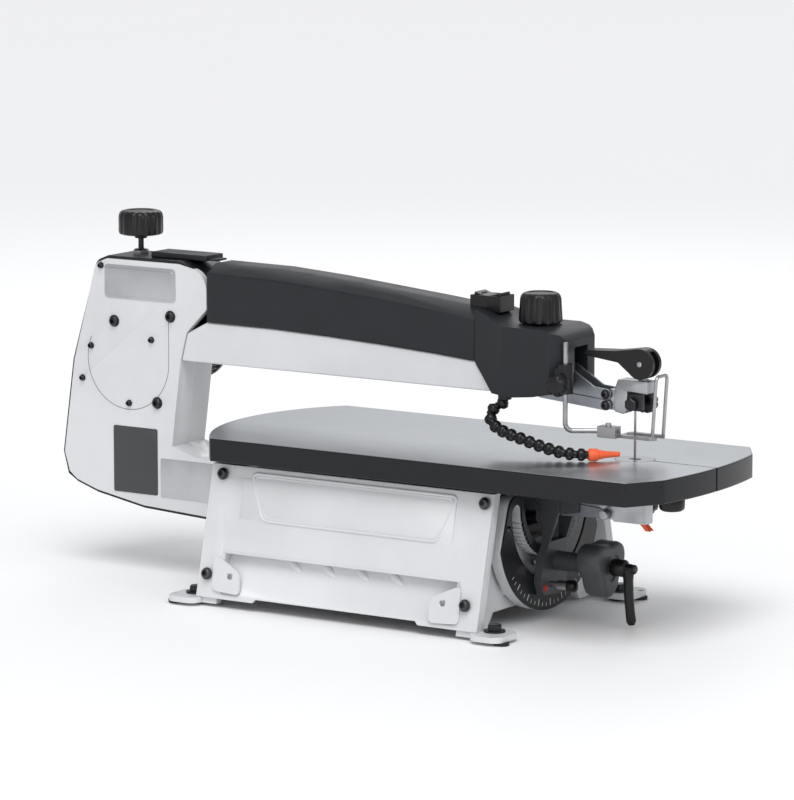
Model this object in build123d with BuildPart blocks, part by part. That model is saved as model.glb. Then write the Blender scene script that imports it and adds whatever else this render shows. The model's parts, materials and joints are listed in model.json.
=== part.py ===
from build123d import *
import math
import os

os.makedirs("parts", exist_ok=True)

# A variable-speed scroll saw with a tilting parallel-link arm.
# The frame's origin is the centre of the four bench holes, on the floor of the feet.
# +X runs forward to the operator, +Z up. Side, front and level sketches are laid out
# from the blade line where it meets the table top.

# ---- driving sizes -------------------------------------------------------------------
table_height = 175          # floor to table top
throat = 553                # blade line to the column's front face
base_height = 145           # floor to the top rim of the base
base_front = -100           # front face of the base, from the blade line
base_length = 344
bench_pitch_x = base_length + 56         # bench hole spacing along the saw
bench_pitch_y = 276         # bench hole spacing across the saw
base_half_top = 108         # half width of the base at its rim
base_half_foot = 143        # half width of the base at the floor
panel_wall = 3              # side panel thickness
end_wall = 8                # end casting thickness
table_half_width = 128
table_front = 94
table_rear = 480
table_plate = 7             # table thickness inside its skirt
table_skirt = 24.5          # depth of the skirt
insert_r = 20
shaft_gap = 0.05            # radial clearance of a running shaft
frame_half = 22             # half width of the black frame core
cover_wall = 8              # depth of each column cover beyond the core
arm_half = 29               # half width of the white arm casting
head_half = 40              # half width of the head
link_span = 76.3            # pin to pin along the saw
link_drop = 6.6             # rear pins stand this much higher than the front pins
pin_r = 2.5
pivot_r = 3.0
upper_crank = 27.5          # push rod pin above the rear pivot of the upper link
lower_crank = 18            # push rod pin below the rear pivot of the lower link
motor_r = 40
motor_length = 74
stud_r = 3                  # tilt clamp stud
stud_drop = 113.5           # tilt clamp stud below the tilt line

blade_x = -(base_front - base_length / 2)
rim_z = base_height - table_height
foot_z = -table_height
base_rear = base_front - base_length
side_slope = (base_half_foot - base_half_top) / base_height
cover_half = frame_half + cover_wall
column_front = -throat


def side(y=0):
    """Side elevation plane: local X forward, local Y up, extrusions run towards -Y."""
    return Plane((blade_x, y, table_height), x_dir=(1, 0, 0), z_dir=(0, -1, 0))


def front(x):
    """Front elevation plane: local X is across, local Y up, extrusions run forward."""
    return Plane((blade_x + x, 0, table_height), x_dir=(0, 1, 0), z_dir=(1, 0, 0))


def level(z):
    """Level plane at a height above the table top, extrusions run up."""
    return Plane((blade_x, 0, table_height + z))


def outline(*points):
    """Face with the given corners, added to the open sketch."""
    Polygon(*points, align=None)


def half_width(z):
    """Half width of the base's outer faces at a height from the table top."""
    return base_half_top + (rim_z - z) * side_slope


def save(piece, name):
    piece.part.label = name
    export_step(piece.part, f"parts/{name}.step")


# ---- base ----------------------------------------------------------------------------
leg_inner = 92              # inner edge of each corner leg at the floor
arch_z = -157               # underside of the end walls between the legs
window_r = 94               # opening that the lower arm sweeps through
flange_reach = 38
flange_wall = 6
flange_outer = base_half_foot + 9
flange_inner = leg_inner + 16
pad_wall = 3                # rubber pad under each foot flange
front_wall_x = base_front - 26
bench_hole_r = 3.5
bench_front = -blade_x + bench_pitch_x / 2
bench_rear = bench_front - bench_pitch_x
foot_bolt_y = bench_pitch_y / 2 - 14
foot_bolt_r = 4
panel_inner_top = base_half_top - panel_wall - 0.4
panel_inner_foot = half_width(foot_z + pad_wall) - panel_wall - 0.4
flange_floor = foot_z + pad_wall
panel_foot = flange_floor + flange_wall + 0.3
panel_screw_r = 3
panel_screw_seats = [
    (base_front - 8, rim_z - 9),
    (base_rear + 16, rim_z - 9),
    (base_front - 16, -140),
    (base_rear + 12, -141),
]


def panel_screw_places(hand):
    """Centres of one side's panel screws, on the panel's outer face."""
    return [(blade_x + x, hand * half_width(z), table_height + z) for x, z in panel_screw_seats]


def end_outline():
    """The end wall: a trapezoid with two legs and an arch between them."""
    outline(
        (-panel_inner_top, rim_z),
        (panel_inner_top, rim_z),
        (panel_inner_foot, flange_floor),
        (leg_inner, flange_floor),
        (leg_inner - 12, arch_z),
        (-leg_inner + 12, arch_z),
        (-leg_inner, flange_floor),
        (-panel_inner_foot, flange_floor),
    )


def corner_outline(hand):
    """Section of one corner post, behind the side panel."""
    outline(
        (hand * panel_inner_top, rim_z),
        (hand * panel_inner_foot, flange_floor),
        (hand * (panel_inner_foot - 9), flange_floor),
        (hand * (panel_inner_top - 9), rim_z),
    )


def end_casting(wall_x, post_from, post_to, flange_from, bolt_x, hole_x):
    """End wall with corner posts, foot flanges, table seats and the arm window."""
    with BuildPart() as casting:
        with BuildSketch(front(wall_x)):
            end_outline()
            Circle(window_r, mode=Mode.SUBTRACT)
        extrude(amount=end_wall)
        for hand in (-1, 1):
            with BuildSketch(front(post_from)):
                corner_outline(hand)
            extrude(amount=post_to - post_from)
        with BuildSketch(level(flange_floor)):
            for hand in (-1, 1):
                with Locations((flange_from + flange_reach / 2, hand * (flange_inner + flange_outer) / 2)):
                    RectangleRounded(flange_reach, flange_outer - flange_inner, 12)
        extrude(amount=flange_wall)
        with BuildSketch(level(flange_floor)):
            for hand in (-1, 1):
                with Locations((hole_x, hand * bench_pitch_y / 2)):
                    Circle(bench_hole_r)
                with Locations((bolt_x, hand * foot_bolt_y)):
                    Circle(foot_bolt_r + shaft_gap)
        extrude(amount=flange_wall, mode=Mode.SUBTRACT)
        with Locations(*panel_screw_places(-1), *panel_screw_places(1)):
            Cylinder(panel_screw_r, 36, rotation=(90, 0, 0), mode=Mode.SUBTRACT)
    return casting


base_front_casting = end_casting(
    front_wall_x, front_wall_x, base_front, base_front - 6, bench_front - 17, bench_front
)
save(base_front_casting, "base_front_casting")

rear_wall_x = base_rear + 2
base_rear_casting = end_casting(
    rear_wall_x, base_rear, base_rear + 24, base_rear + 6 - flange_reach, bench_rear + 17, bench_rear
)
save(base_rear_casting, "base_rear_casting")

# Side panels: a sheet with an embossed field and a carrying trough along its foot.
panel_mid_x = base_front - base_length / 2
trough_top = -119
trough_foot = -162
trough_depth = 13
trough_half = 145
skirt_clear_z = foot_z + 13     # the panel's lower edge between the corner legs
leg_run = 62                    # length of each panel leg
emboss_depth = 2


def side_panel(hand):
    """One side panel; hand is -1 on the left of the saw and +1 on the right."""
    with BuildPart() as panel:
        with BuildSketch(front(base_rear)):
            outline(
                (hand * base_half_top, rim_z),
                (hand * half_width(panel_foot), panel_foot),
                (hand * (half_width(panel_foot) - panel_wall), panel_foot),
                (hand * (base_half_top - panel_wall), rim_z),
            )
        extrude(amount=base_length)
        # The arch between the legs.
        with BuildSketch(side(hand * base_half_foot)):
            outline(
                (base_front - leg_run, foot_z),
                (base_rear + leg_run, foot_z),
                (base_rear + leg_run + 12, skirt_clear_z),
                (base_front - leg_run - 12, skirt_clear_z),
            )
        extrude(amount=40, both=True, mode=Mode.SUBTRACT)
        # The trough: its mouth is cut from the sheet and a bent channel closes it.
        with BuildSketch(side(hand * base_half_foot)):
            with Locations((panel_mid_x, (trough_top + trough_foot) / 2)):
                Rectangle(2 * trough_half, trough_top - trough_foot)
        extrude(amount=40, both=True, mode=Mode.SUBTRACT)
        with BuildSketch(front(panel_mid_x - trough_half)):
            outline(
                (hand * half_width(trough_top), trough_top + panel_wall),
                (hand * (half_width(trough_top) - trough_depth - panel_wall), trough_top + panel_wall),
                (hand * (half_width(trough_foot) - 2 * panel_wall), trough_foot),
                (hand * half_width(trough_foot), trough_foot),
                (hand * (half_width(trough_foot) - panel_wall), trough_foot + panel_wall),
                (hand * (half_width(trough_top) - trough_depth), trough_top),
                (hand * half_width(trough_top), trough_top),
            )
        extrude(amount=2 * trough_half)
        for end in (panel_mid_x - trough_half, panel_mid_x + trough_half - panel_wall):
            with BuildSketch(front(end)):
                outline(
                    (hand * (half_width(trough_top) - 0.2), trough_top),
                    (hand * (half_width(trough_top) - trough_depth), trough_top),
                    (hand * (half_width(trough_foot) - panel_wall), trough_foot + panel_wall),
                    (hand * (half_width(trough_foot) - 0.2), trough_foot),
                )
            extrude(amount=panel_wall)
        # The embossed field stands out of the sheet.
        with BuildSketch(front(base_rear + 42)):
            outline(
                (hand * half_width(rim_z - 11), rim_z - 11),
                (hand * half_width(-84), -84),
                (hand * (half_width(-84) + 0.1), -82),
                (hand * (half_width(rim_z - 13) + emboss_depth), rim_z - 14),
            )
        extrude(amount=base_length - 84)
        with Locations(*panel_screw_places(hand)):
            Cylinder(panel_screw_r, 36, rotation=(90, 0, 0), mode=Mode.SUBTRACT)
    return panel


left_side_panel = side_panel(-1)
save(left_side_panel, "left_side_panel")
right_side_panel = side_panel(1)
save(right_side_panel, "right_side_panel")


# Fasteners and pads of the base.
screw_head_r = 6
screw_head = 6
with BuildPart() as side_panel_screws:
    for hand in (-1, 1):
        for x, z in panel_screw_seats:
            with BuildSketch(side(hand * (half_width(z) + 1.5))):
                with Locations((x, z)):
                    Circle(screw_head_r)
            extrude(amount=-hand * screw_head)
            with BuildSketch(side(hand * (half_width(z) + 1.5 + screw_head))):
                with Locations((x, z)):
                    RegularPolygon(3, 6)
            extrude(amount=hand * 3, mode=Mode.SUBTRACT)
            with BuildSketch(side(hand * (half_width(z) + 1.5))):
                with Locations((x, z)):
                    Circle(panel_screw_r - 0.2)
            extrude(amount=hand * 12)
    with BuildSketch(front(base_front + 1)):
        with Locations((-82, -70), (82, -70)):
            Circle(4)
            RegularPolygon(2, 6, mode=Mode.SUBTRACT)
    extrude(amount=3)
save(side_panel_screws, "base_screws")

with BuildPart() as foot_pads:
    with BuildSketch(level(foot_z)):
        for x in (bench_front - 17, bench_rear + 17):
            with Locations((x, foot_bolt_y), (x, -foot_bolt_y)):
                Circle(11)
        for x in (bench_front, bench_rear):
            for y in (bench_pitch_y / 2, -bench_pitch_y / 2):
                with Locations((x, y)):
                    Circle(bench_hole_r + 4)
        for x_bolt, x_hole in ((bench_front - 17, bench_front), (bench_rear + 17, bench_rear)):
            for hand in (-1, 1):
                with Locations(((x_bolt + x_hole) / 2, hand * (foot_bolt_y + bench_pitch_y / 2) / 2)):
                    Circle(bench_hole_r + 5)
        for x in (bench_front, bench_rear):
            for y in (bench_pitch_y / 2, -bench_pitch_y / 2):
                with Locations((x, y)):
                    Circle(bench_hole_r, mode=Mode.SUBTRACT)
    extrude(amount=pad_wall)
save(foot_pads, "foot_pads")

with BuildPart() as foot_bolts:
    for x in (bench_front - 17, bench_rear + 17):
        for y in (foot_bolt_y, -foot_bolt_y):
            with BuildSketch(level(flange_floor)):
                with Locations((x, y)):
                    Circle(foot_bolt_r)
            extrude(amount=flange_wall + 3)
            with BuildSketch(level(flange_floor + flange_wall)):
                with Locations((x, y)):
                    Circle(11)
            extrude(amount=2)
            with BuildSketch(level(flange_floor + flange_wall + 2)):
                with Locations((x, y)):
                    RegularPolygon(8, 6)
            extrude(amount=6)
save(foot_bolts, "foot_bolts")

# ---- table ---------------------------------------------------------------------------
slot_half = 0.9
insert_ledge = 3
blade_hole = 9
lock_knob_x, lock_knob_y = 68, -44
lock_knob_r = 13


def table_outline(inset):
    """Table outline: an arched rear edge, straight sides, a slightly bowed front."""
    half = table_half_width - inset
    rear = -table_rear + inset
    fore = table_front - inset
    with BuildSketch(level(-table_skirt)) as plan:
        with BuildLine():
            ThreePointArc((rear + 35, -half + 14), (rear, 0), (rear + 35, half - 14))
            Line((rear + 35, half - 14), (rear + 46, half))
            Line((rear + 46, half), (fore - 32, half))
            Line((fore - 32, half), (fore - 9, half - 37))
            ThreePointArc((fore - 9, half - 37), (fore, 0), (fore - 9, -half + 37))
            Line((fore - 9, -half + 37), (fore - 32, -half))
            Line((fore - 32, -half), (rear + 46, -half))
            Line((rear + 46, -half), (rear + 35, -half + 14))
        make_face()
        fillet(plan.vertices().group_by(Axis.X)[-1], 14)
        fillet(plan.vertices().sort_by(Axis.X)[:2], 10)
    return plan


table_plan = table_outline(0)
table_inner = table_outline(6)
with BuildPart() as table_top:
    extrude(to_extrude=table_plan.sketch, amount=table_skirt)
    extrude(to_extrude=table_inner.sketch, amount=table_skirt - table_plate, mode=Mode.SUBTRACT)
    with BuildSketch(level(-table_plate)):
        with Locations((0, 0)):
            Circle(insert_r - insert_ledge)
    extrude(amount=table_plate, mode=Mode.SUBTRACT)
    with BuildSketch(level(-insert_ledge)):
        Circle(insert_r + 0.1)
    extrude(amount=insert_ledge, mode=Mode.SUBTRACT)
    with BuildSketch(level(-table_skirt)):
        with Locations((lock_knob_x, lock_knob_y)):
            Circle(lock_knob_r - 4)
            Circle(pivot_r + shaft_gap, mode=Mode.SUBTRACT)
    extrude(amount=table_skirt - table_plate)
    with BuildSketch(level(-table_skirt)):
        with Locations((table_front / 2 + 10, 0)):
            Rectangle(table_front + 10, 2 * slot_half)
    extrude(amount=table_skirt, mode=Mode.SUBTRACT)
save(table_top, "table_top")

with BuildPart() as table_insert:
    with BuildSketch(level(-insert_ledge)):
        Circle(insert_r)
        SlotOverall(blade_hole + 4, blade_hole, mode=Mode.SUBTRACT)
    extrude(amount=insert_ledge)
save(table_insert, "table_insert")

# Four seats carry the table on the rims of the end castings.
seat_y = base_half_top - 20
seat_places = [(x, hand * seat_y) for x in (front_wall_x + 4, rear_wall_x + 4) for hand in (-1, 1)]
with BuildPart() as table_seats:
    with BuildSketch(level(rim_z)):
        with Locations(*seat_places):
            Rectangle(end_wall, 24)
    extrude(amount=-rim_z - table_plate)
    with BuildSketch(level(-table_plate - 5)):
        for x, y in seat_places:
            with Locations((x + (12 if x < -200 else -12), y)):
                Rectangle(32, 24)
    extrude(amount=5)
save(table_seats, "table_seats")

with BuildPart() as table_edge_knob:
    with BuildSketch(level(-table_skirt - 15)):
        with Locations((lock_knob_x, lock_knob_y)):
            Circle(lock_knob_r)
    extrude(amount=14)
    fillet(table_edge_knob.edges().filter_by(GeomType.CIRCLE).sort_by(Axis.Z)[0], 4)
    with BuildSketch(level(-table_skirt - 4)):
        with Locations((lock_knob_x, lock_knob_y)):
            Circle(pivot_r)
    extrude(amount=table_skirt - table_plate)
save(table_edge_knob, "table_edge_knob")

# ---- tilt quadrant -------------------------------------------------------------------
quadrant_front = base_front + 1
scale_wall = 2.5
quadrant_wall = 12
quadrant_back = quadrant_front - scale_wall - quadrant_wall
rack_r = 56                 # inner edge of the crescent slot, about a point below the tilt line
rack_drop = 53
slot_r = 75
slot_drop = 56


def crescent():
    """Quadrant outline: two rounded horns round a deep notch, with a crescent slot."""
    with BuildSketch(front(quadrant_back)) as plate:
        with BuildLine():
            ThreePointArc((-94, -92), (0, -165), (94, -92))
            Line((94, -92), (81, -50))
            ThreePointArc((81, -50), (65, -38), (51, -50))
            ThreePointArc((51, -50), (0, -98.5), (-51, -50))
            ThreePointArc((-51, -50), (-65, -38), (-81, -50))
            Line((-81, -50), (-94, -92))
        make_face()
        with BuildLine():
            ThreePointArc((-slot_r, -slot_drop), (0, -slot_drop - slot_r), (slot_r, -slot_drop))
            ThreePointArc((slot_r, -slot_drop), (66, -47), (rack_r, -rack_drop))
            ThreePointArc((rack_r, -rack_drop), (0, -rack_drop - rack_r), (-rack_r, -rack_drop))
            ThreePointArc((-rack_r, -rack_drop), (-66, -47), (-slot_r, -slot_drop))
        make_face(mode=Mode.SUBTRACT)
        with Locations((0, -rack_drop)):
            with PolarLocations(rack_r, 25, start_angle=-165, angular_range=150):
                Rectangle(2.4, 2.2, mode=Mode.SUBTRACT)
    return plate


crescent_face = crescent()
with BuildPart() as tilt_quadrant:
    extrude(to_extrude=crescent_face.sketch, amount=quadrant_wall)
    with BuildSketch(front(front_wall_x + end_wall)):
        with Locations((-84, -88), (84, -88), (-60, -134), (60, -134)):
            Circle(8)
    extrude(amount=quadrant_back - front_wall_x - end_wall)
save(tilt_quadrant, "tilt_quadrant")
with BuildPart() as tilt_scale_plate:
    extrude(to_extrude=crescent_face.sketch, amount=quadrant_wall + scale_wall)
    extrude(to_extrude=crescent_face.sketch, amount=quadrant_wall, mode=Mode.SUBTRACT)
save(tilt_scale_plate, "tilt_scale_plate")

# The rear trunnion: an arched rail on the rear end casting, centred on the tilt line.
rail_inner = 96
rail_outer = 108
with BuildPart() as rear_trunnion_rail:
    with BuildSketch(front(base_rear - 6)):
        Circle(rail_outer)
        Circle(rail_inner, mode=Mode.SUBTRACT)
        with Locations((0, 60)):
            Rectangle(300, 240, mode=Mode.SUBTRACT)
    extrude(amount=8)
save(rear_trunnion_rail, "rear_trunnion_rail")

# ---- column and lower neck -----------------------------------------------------------
column_top = 166
column_rear = column_front - 144
arm_floor = 59.5            # underside of the upper arm
neck_front = base_rear - 8  # the frame's lower neck ends just behind the base
neck_foot = -109
neck_roof = -33
neck_step = -table_rear - 5
table_clear_roof = -50      # neck roof under the table, low enough to tilt
rocker_x = column_front - 17
motor_x = column_front - 57
motor_z = 60
nose_x = column_front + 46  # foremost point of the column's rounded head
upper_pin_z = 64.9          # front pin of the upper arm's top link
lower_pin_z = -47           # front pin of the lower arm's top link
pin_x = -28.8
pair_gap = 11.3             # height between the two links of a pair
pivot_x = pin_x - link_span
lower_rod_z = lower_pin_z - pair_gap + link_drop - lower_crank
upper_rod_z = upper_pin_z + link_drop + upper_crank
crank_sum = upper_crank + lower_crank
rocker_z = (lower_crank * upper_rod_z + upper_crank * lower_rod_z) / crank_sum
web_near = 10
web_wall = 6
shaft_r = 5
eccentric_r = 12
eccentric_throw = 1.8
eye_r = 7
rod_r = 3


def column_outline(inset, face):
    """Column, rounded head and lower neck; face sets back the edge above the table."""
    with BuildSketch(side(0)) as plan:
        with BuildLine():
            Polyline(
                (column_front + 26 - face, column_top - 5 - inset / 2),
                (column_front + 10, column_top - inset),
                (column_rear + 60, column_top - inset),
                (column_rear + 45, column_top - 6 - inset),
                (column_rear + 12 + inset, 50),
                (column_rear - 2.4 + inset, -51.7),
                (column_rear + 4 + inset, -76 + inset),
                (column_rear + 17, -84 + inset),
                (column_rear + 44, -93 + inset),
                (column_rear + 106, -104.4 + inset),
                (column_rear + 189, neck_foot + inset),
                (neck_front, neck_foot + inset),
                (neck_front, table_clear_roof - face),
                (neck_step - face, table_clear_roof - face),
                (neck_step - face, neck_roof - 13 - face),
                (column_front + 30 - face, neck_roof - 10 - face),
                (column_front - face, neck_roof - 1 - face),
                (column_front + 12 - face, arm_floor),
                (column_front + 20 - face, 90.5),
                (nose_x - face, 117),
                (nose_x - face, 138),
            )
            ThreePointArc(
                (nose_x - face, 138),
                (nose_x - 6 - face, column_top - 14),
                (column_front + 26 - face, column_top - 5 - inset / 2),
            )
        make_face()
        crown = (column_rear + 45, column_top - 6 - inset, 0)
        fillet(plan.vertices().sort_by_distance(crown)[0], 12)
    return plan


core_plan = column_outline(0, 3)
core_cavity = column_outline(9, 10)
cover_plan = column_outline(3, 0)

def across(x, z, radius, y_from, y_to, mode=Mode.ADD):
    """Round bar across the saw between two widths, added to the open part."""
    with Locations((blade_x + x, (y_from + y_to) / 2, table_height + z)):
        Cylinder(radius, abs(y_to - y_from), rotation=(90, 0, 0), mode=mode)


def block(x_from, x_to, y_from, y_to, z_from, z_to, mode=Mode.ADD):
    """Box between two corners, added to the open part."""
    centre = (blade_x + (x_from + x_to) / 2, (y_from + y_to) / 2, table_height + (z_from + z_to) / 2)
    with Locations(centre):
        Box(x_to - x_from, y_to - y_from, z_to - z_from, mode=mode)


def upright(x, y, radius, z_from, z_to, mode=Mode.ADD):
    """Upright round bar between two heights, added to the open part."""
    with Locations((blade_x + x, y, table_height + (z_from + z_to) / 2)):
        Cylinder(radius, z_to - z_from, mode=mode)


def lengthways(y, z, radius, x_from, x_to, mode=Mode.ADD):
    """Round bar along the saw, added to the open part."""
    with Locations((blade_x + (x_from + x_to) / 2, y, table_height + z)):
        Cylinder(radius, x_to - x_from, rotation=(0, 90, 0), mode=mode)


big_cover_screws = [
    (column_front - 75, 96),
    (column_front - 1, 106),
    (column_front - 19, 11.6),
]
small_cover_screws = [
    (column_front - 106, 67),
    (column_front - 26, 79),
    (column_front - 118, 31),
    (column_front - 56, 8.4),
    (column_front - 92, 155),
]

with BuildPart() as frame_core:
    extrude(to_extrude=core_plan.sketch, amount=frame_half, both=True)
    extrude(to_extrude=core_cavity.sketch, amount=frame_half + 1, both=True, mode=Mode.SUBTRACT)
    # Inner web that carries the motor and the rocker shaft.
    with BuildSketch(side(web_near)):
        with Locations((motor_x, motor_z)):
            Circle(40)
        with Locations((motor_x - 20, -5)):
            Rectangle(190, 30)
        with Locations((motor_x, 5)):
            Rectangle(60, 80)
    extrude(amount=-web_wall)
    extrude(to_extrude=core_plan.sketch, amount=frame_half, both=True, mode=Mode.INTERSECT)
    across(motor_x, motor_z, shaft_r + shaft_gap, 0, 30, Mode.SUBTRACT)
    across(rocker_x, rocker_z, pivot_r, 0, 30, Mode.SUBTRACT)
    # Windows for the two push rods and the root of the lower arm.
    block(column_front - 30, nose_x + 5, -12, 12, upper_rod_z - 13, upper_rod_z + 13, Mode.SUBTRACT)
    block(neck_front - 20, neck_front + 5, -12, 12, lower_rod_z - 10, lower_rod_z + 10, Mode.SUBTRACT)
    upright(motor_x - 3.6, 0, pivot_r, column_top - 20, column_top + 20, Mode.SUBTRACT)
save(frame_core, "frame_core")


def column_cover(hand):
    """White cover: a side wall with a lip that turns round the front to the seam."""
    with BuildPart() as cover:
        with BuildSketch(side(hand * frame_half)):
            add(cover_plan.sketch_local)
        extrude(amount=-hand * cover_wall)
        # The front lip closes the gap in front of the core, down to the neck.
        with BuildSketch(side(hand * 0.15)):
            outline(
                (neck_step, neck_roof - 13),
                (column_front + 30, neck_roof - 10),
                (column_front, neck_roof - 1),
                (column_front + 12, arm_floor - 0.5),
                (column_front + 9.4, arm_floor - 0.5),
                (column_front - 2.6, neck_roof - 3.4),
                (column_front + 27, neck_roof - 12.6),
                (neck_step, neck_roof - 15.6),
            )
        extrude(amount=-hand * (frame_half - 0.15))
        if hand > 0:
            across(motor_x, motor_z, motor_r - 4, 10, 40, Mode.SUBTRACT)
        for x, z in big_cover_screws + small_cover_screws:
            across(x, z, pin_r, hand * (cover_half - 6), hand * (cover_half + 1), Mode.SUBTRACT)
    return cover


left_column_cover = column_cover(-1)
save(left_column_cover, "left_column_cover")
right_column_cover = column_cover(1)
save(right_column_cover, "right_column_cover")

with BuildPart() as column_screws:
    for hand in (-1, 1):
        for radius, places in ((6.5, big_cover_screws), (3.6, small_cover_screws)):
            for x, z in places:
                if hand < 0 or math.hypot(x - motor_x, z - motor_z) > motor_r + radius:
                    across(x, z, radius, hand * cover_half, hand * (cover_half + 4))
                    across(x, z, pin_r - 0.1, hand * (cover_half - 6), hand * cover_half)
    for turn in (-0.6, 0.97, 2.54, 4.1):
        x = motor_x + (motor_r - 8) * math.cos(turn)
        z = motor_z + (motor_r - 8) * math.sin(turn)
        across(x, z, 4, cover_half + 0.5 + motor_length, cover_half + 4.5 + motor_length)
save(column_screws, "column_screws")

# ---- upper arm -----------------------------------------------------------------------
arm_front = -151
cover_x = [nose_x + 0.6, -424, -356, -289, -224, -172.4]
cover_hem = [103.3, 102.9, 100.6, 97.4, 93.4, 89.3]
cover_crease = [156.5, 154.8, 150.3, 144.9, 138.6, 133.5]
cover_ridge = [165.5, 164.5, 160, 154, 148, 142.5]
arm_wall = 5

with BuildPart() as upper_arm_casting:
    with BuildSketch(side(0)):
        outline(
            (column_front + 12.2, arm_floor),
            (arm_front, arm_floor),
            (cover_x[-1] - 1, cover_hem[-1]),
            *[(x, z) for x, z in zip(cover_x[-2:0:-1], cover_hem[-2:0:-1])],
            (nose_x, cover_hem[0]),
            (column_front + 20, 90),
        )
    extrude(amount=arm_half, both=True)
    with BuildSketch(side(0)):
        outline(
            (column_front + 12, arm_floor + arm_wall),
            (arm_front - 8, arm_floor + arm_wall),
            (cover_x[-1] - 6, 150),
            (column_front + 12, 150),
        )
    extrude(amount=arm_half - arm_wall, both=True, mode=Mode.SUBTRACT)
    extrude(to_extrude=core_plan.sketch, amount=frame_half + 0.1, both=True, mode=Mode.SUBTRACT)
    extrude(to_extrude=cover_plan.sketch, amount=cover_half + 1, both=True, mode=Mode.SUBTRACT)
save(upper_arm_casting, "upper_arm_casting")


def arm_roof(half, drop):
    """Arm cover solid, lofted through sections with a flat ridge and sloping shoulders."""
    with BuildPart() as roof:
        for x, hem, crease, ridge in zip(cover_x, cover_hem, cover_crease, cover_ridge):
            with BuildSketch(front(x)):
                outline(
                    (-half, hem + 0.05),
                    (half, hem + 0.05),
                    (half, crease - drop),
                    (14, ridge - drop),
                    (-14, ridge - drop),
                    (-half, crease - drop),
                )
        loft(ruled=True)
    return roof


cover_hollow = arm_roof(arm_half - 1.5, 3.5)
upper_arm_cover = arm_roof(arm_half + 2, 0)
upper_arm_cover.part = upper_arm_cover.part - cover_hollow.part
save(upper_arm_cover, "upper_arm_cover")

# ---- head ----------------------------------------------------------------------------
head_nose = -64
head_rear = -172
head_top = 124
head_slot = 13              # half width of the slot that holds the links
knob_x = -112
with BuildPart() as head_housing:
    with BuildSketch(side(0)):
        outline(
            (head_rear, cover_hem[-1] + 0.4),
            (-149.6, 58.7),
            (-122, 57.3),
            (-98, 59.7),
            (head_nose - 8, 65),
            (head_nose, 74),
            (head_nose, 118),
            (head_nose - 6, head_top),
            (-88, 129),
            (-136, 129),
            (-158, 138),
            (head_rear, 142.5),
        )
    extrude(amount=head_half, both=True)
    with BuildSketch(level(0)) as plan:
        outline(
            (head_rear, 31),
            (-150, 34),
            (-132, head_half),
            (-78, head_half),
            (head_nose, 27),
            (head_nose, -27),
            (-78, -head_half),
            (-132, -head_half),
            (-150, -34),
            (head_rear, -31),
        )
    extrude(amount=200, mode=Mode.INTERSECT)
    block(-165, head_nose + 5, -head_slot, head_slot, 40, 110, Mode.SUBTRACT)
    block(head_rear - 5, -130, -24, 24, 66, 118, Mode.SUBTRACT)
    upright(knob_x, 0, pivot_r + shaft_gap, 105, 140, Mode.SUBTRACT)
    for z in (upper_pin_z + link_drop, upper_pin_z + link_drop - pair_gap):
        across(pivot_x, z, pivot_r, -22, 22, Mode.SUBTRACT)
save(head_housing, "head_housing")


def parallel_links(top_z, crank, name):
    """The two links of one arm: a plain pair and a wedge that the push rod drives."""
    gap_y, wall = 8, 2.5
    eye = pair_gap / 2 - 0.45
    crank_row = 0 if crank > 0 else 1
    for row, part_name in ((0, f"{name}_top_link"), (1, f"{name}_bottom_link")):
        front_z = top_z - row * pair_gap
        rear_z = front_z + link_drop
        with BuildPart() as link:
            for hand in (-1, 1):
                with BuildSketch(side(hand * gap_y)):
                    with Locations((pin_x, front_z), (pivot_x, rear_z)):
                        Circle(eye)
                    outline(
                        (pin_x - 0.45, front_z - eye),
                        (pin_x + 0.45, front_z + eye),
                        (pivot_x + 0.45, rear_z + eye),
                        (pivot_x - 0.45, rear_z - eye),
                    )
                    if row == crank_row:
                        with Locations((pivot_x, rear_z + crank)):
                            Circle(eye)
                        reach = 30 if crank > 0 else 12
                        outline(
                            (pivot_x - eye, rear_z),
                            (pivot_x - eye, rear_z + crank),
                            (pivot_x + eye, rear_z + crank + math.copysign(eye, crank) * 0.4),
                            (pivot_x + reach, rear_z + crank * 0.72),
                            (pin_x - 10, front_z + math.copysign(eye, crank) * 0.8),
                            (pin_x - 10, front_z),
                        )
                extrude(amount=-hand * wall)
            across(pivot_x + 34, front_z + link_drop * 0.55, 3, -gap_y - 0.1, gap_y + 0.1)
            for y in (-9.3, 9.3):
                across(pivot_x, rear_z, pivot_r + shaft_gap, y - 2, y + 2, Mode.SUBTRACT)
                across(pin_x, front_z, pin_r + (shaft_gap if row == 1 else 0.25), y - 2, y + 2, Mode.SUBTRACT)
            if row == crank_row:
                across(pivot_x, rear_z + crank, pin_r, -gap_y - wall - 1.5, gap_y + wall + 1.5)
        save(link, part_name)


parallel_links(upper_pin_z, upper_crank, "upper")
parallel_links(lower_pin_z, -lower_crank, "lower")


with BuildPart() as link_pivots:
    for z in (upper_pin_z + link_drop, upper_pin_z + link_drop - pair_gap):
        across(pivot_x, z, pivot_r, -21.9, 21.9)
    for z in (lower_pin_z + link_drop, lower_pin_z + link_drop - pair_gap):
        across(pivot_x, z, pivot_r, -15, 15)
    across(rocker_x, rocker_z, pivot_r, -14, web_near + web_wall)
    across(rocker_x, rocker_z, 6, -14, -9)
save(link_pivots, "pivot_shafts")

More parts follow.
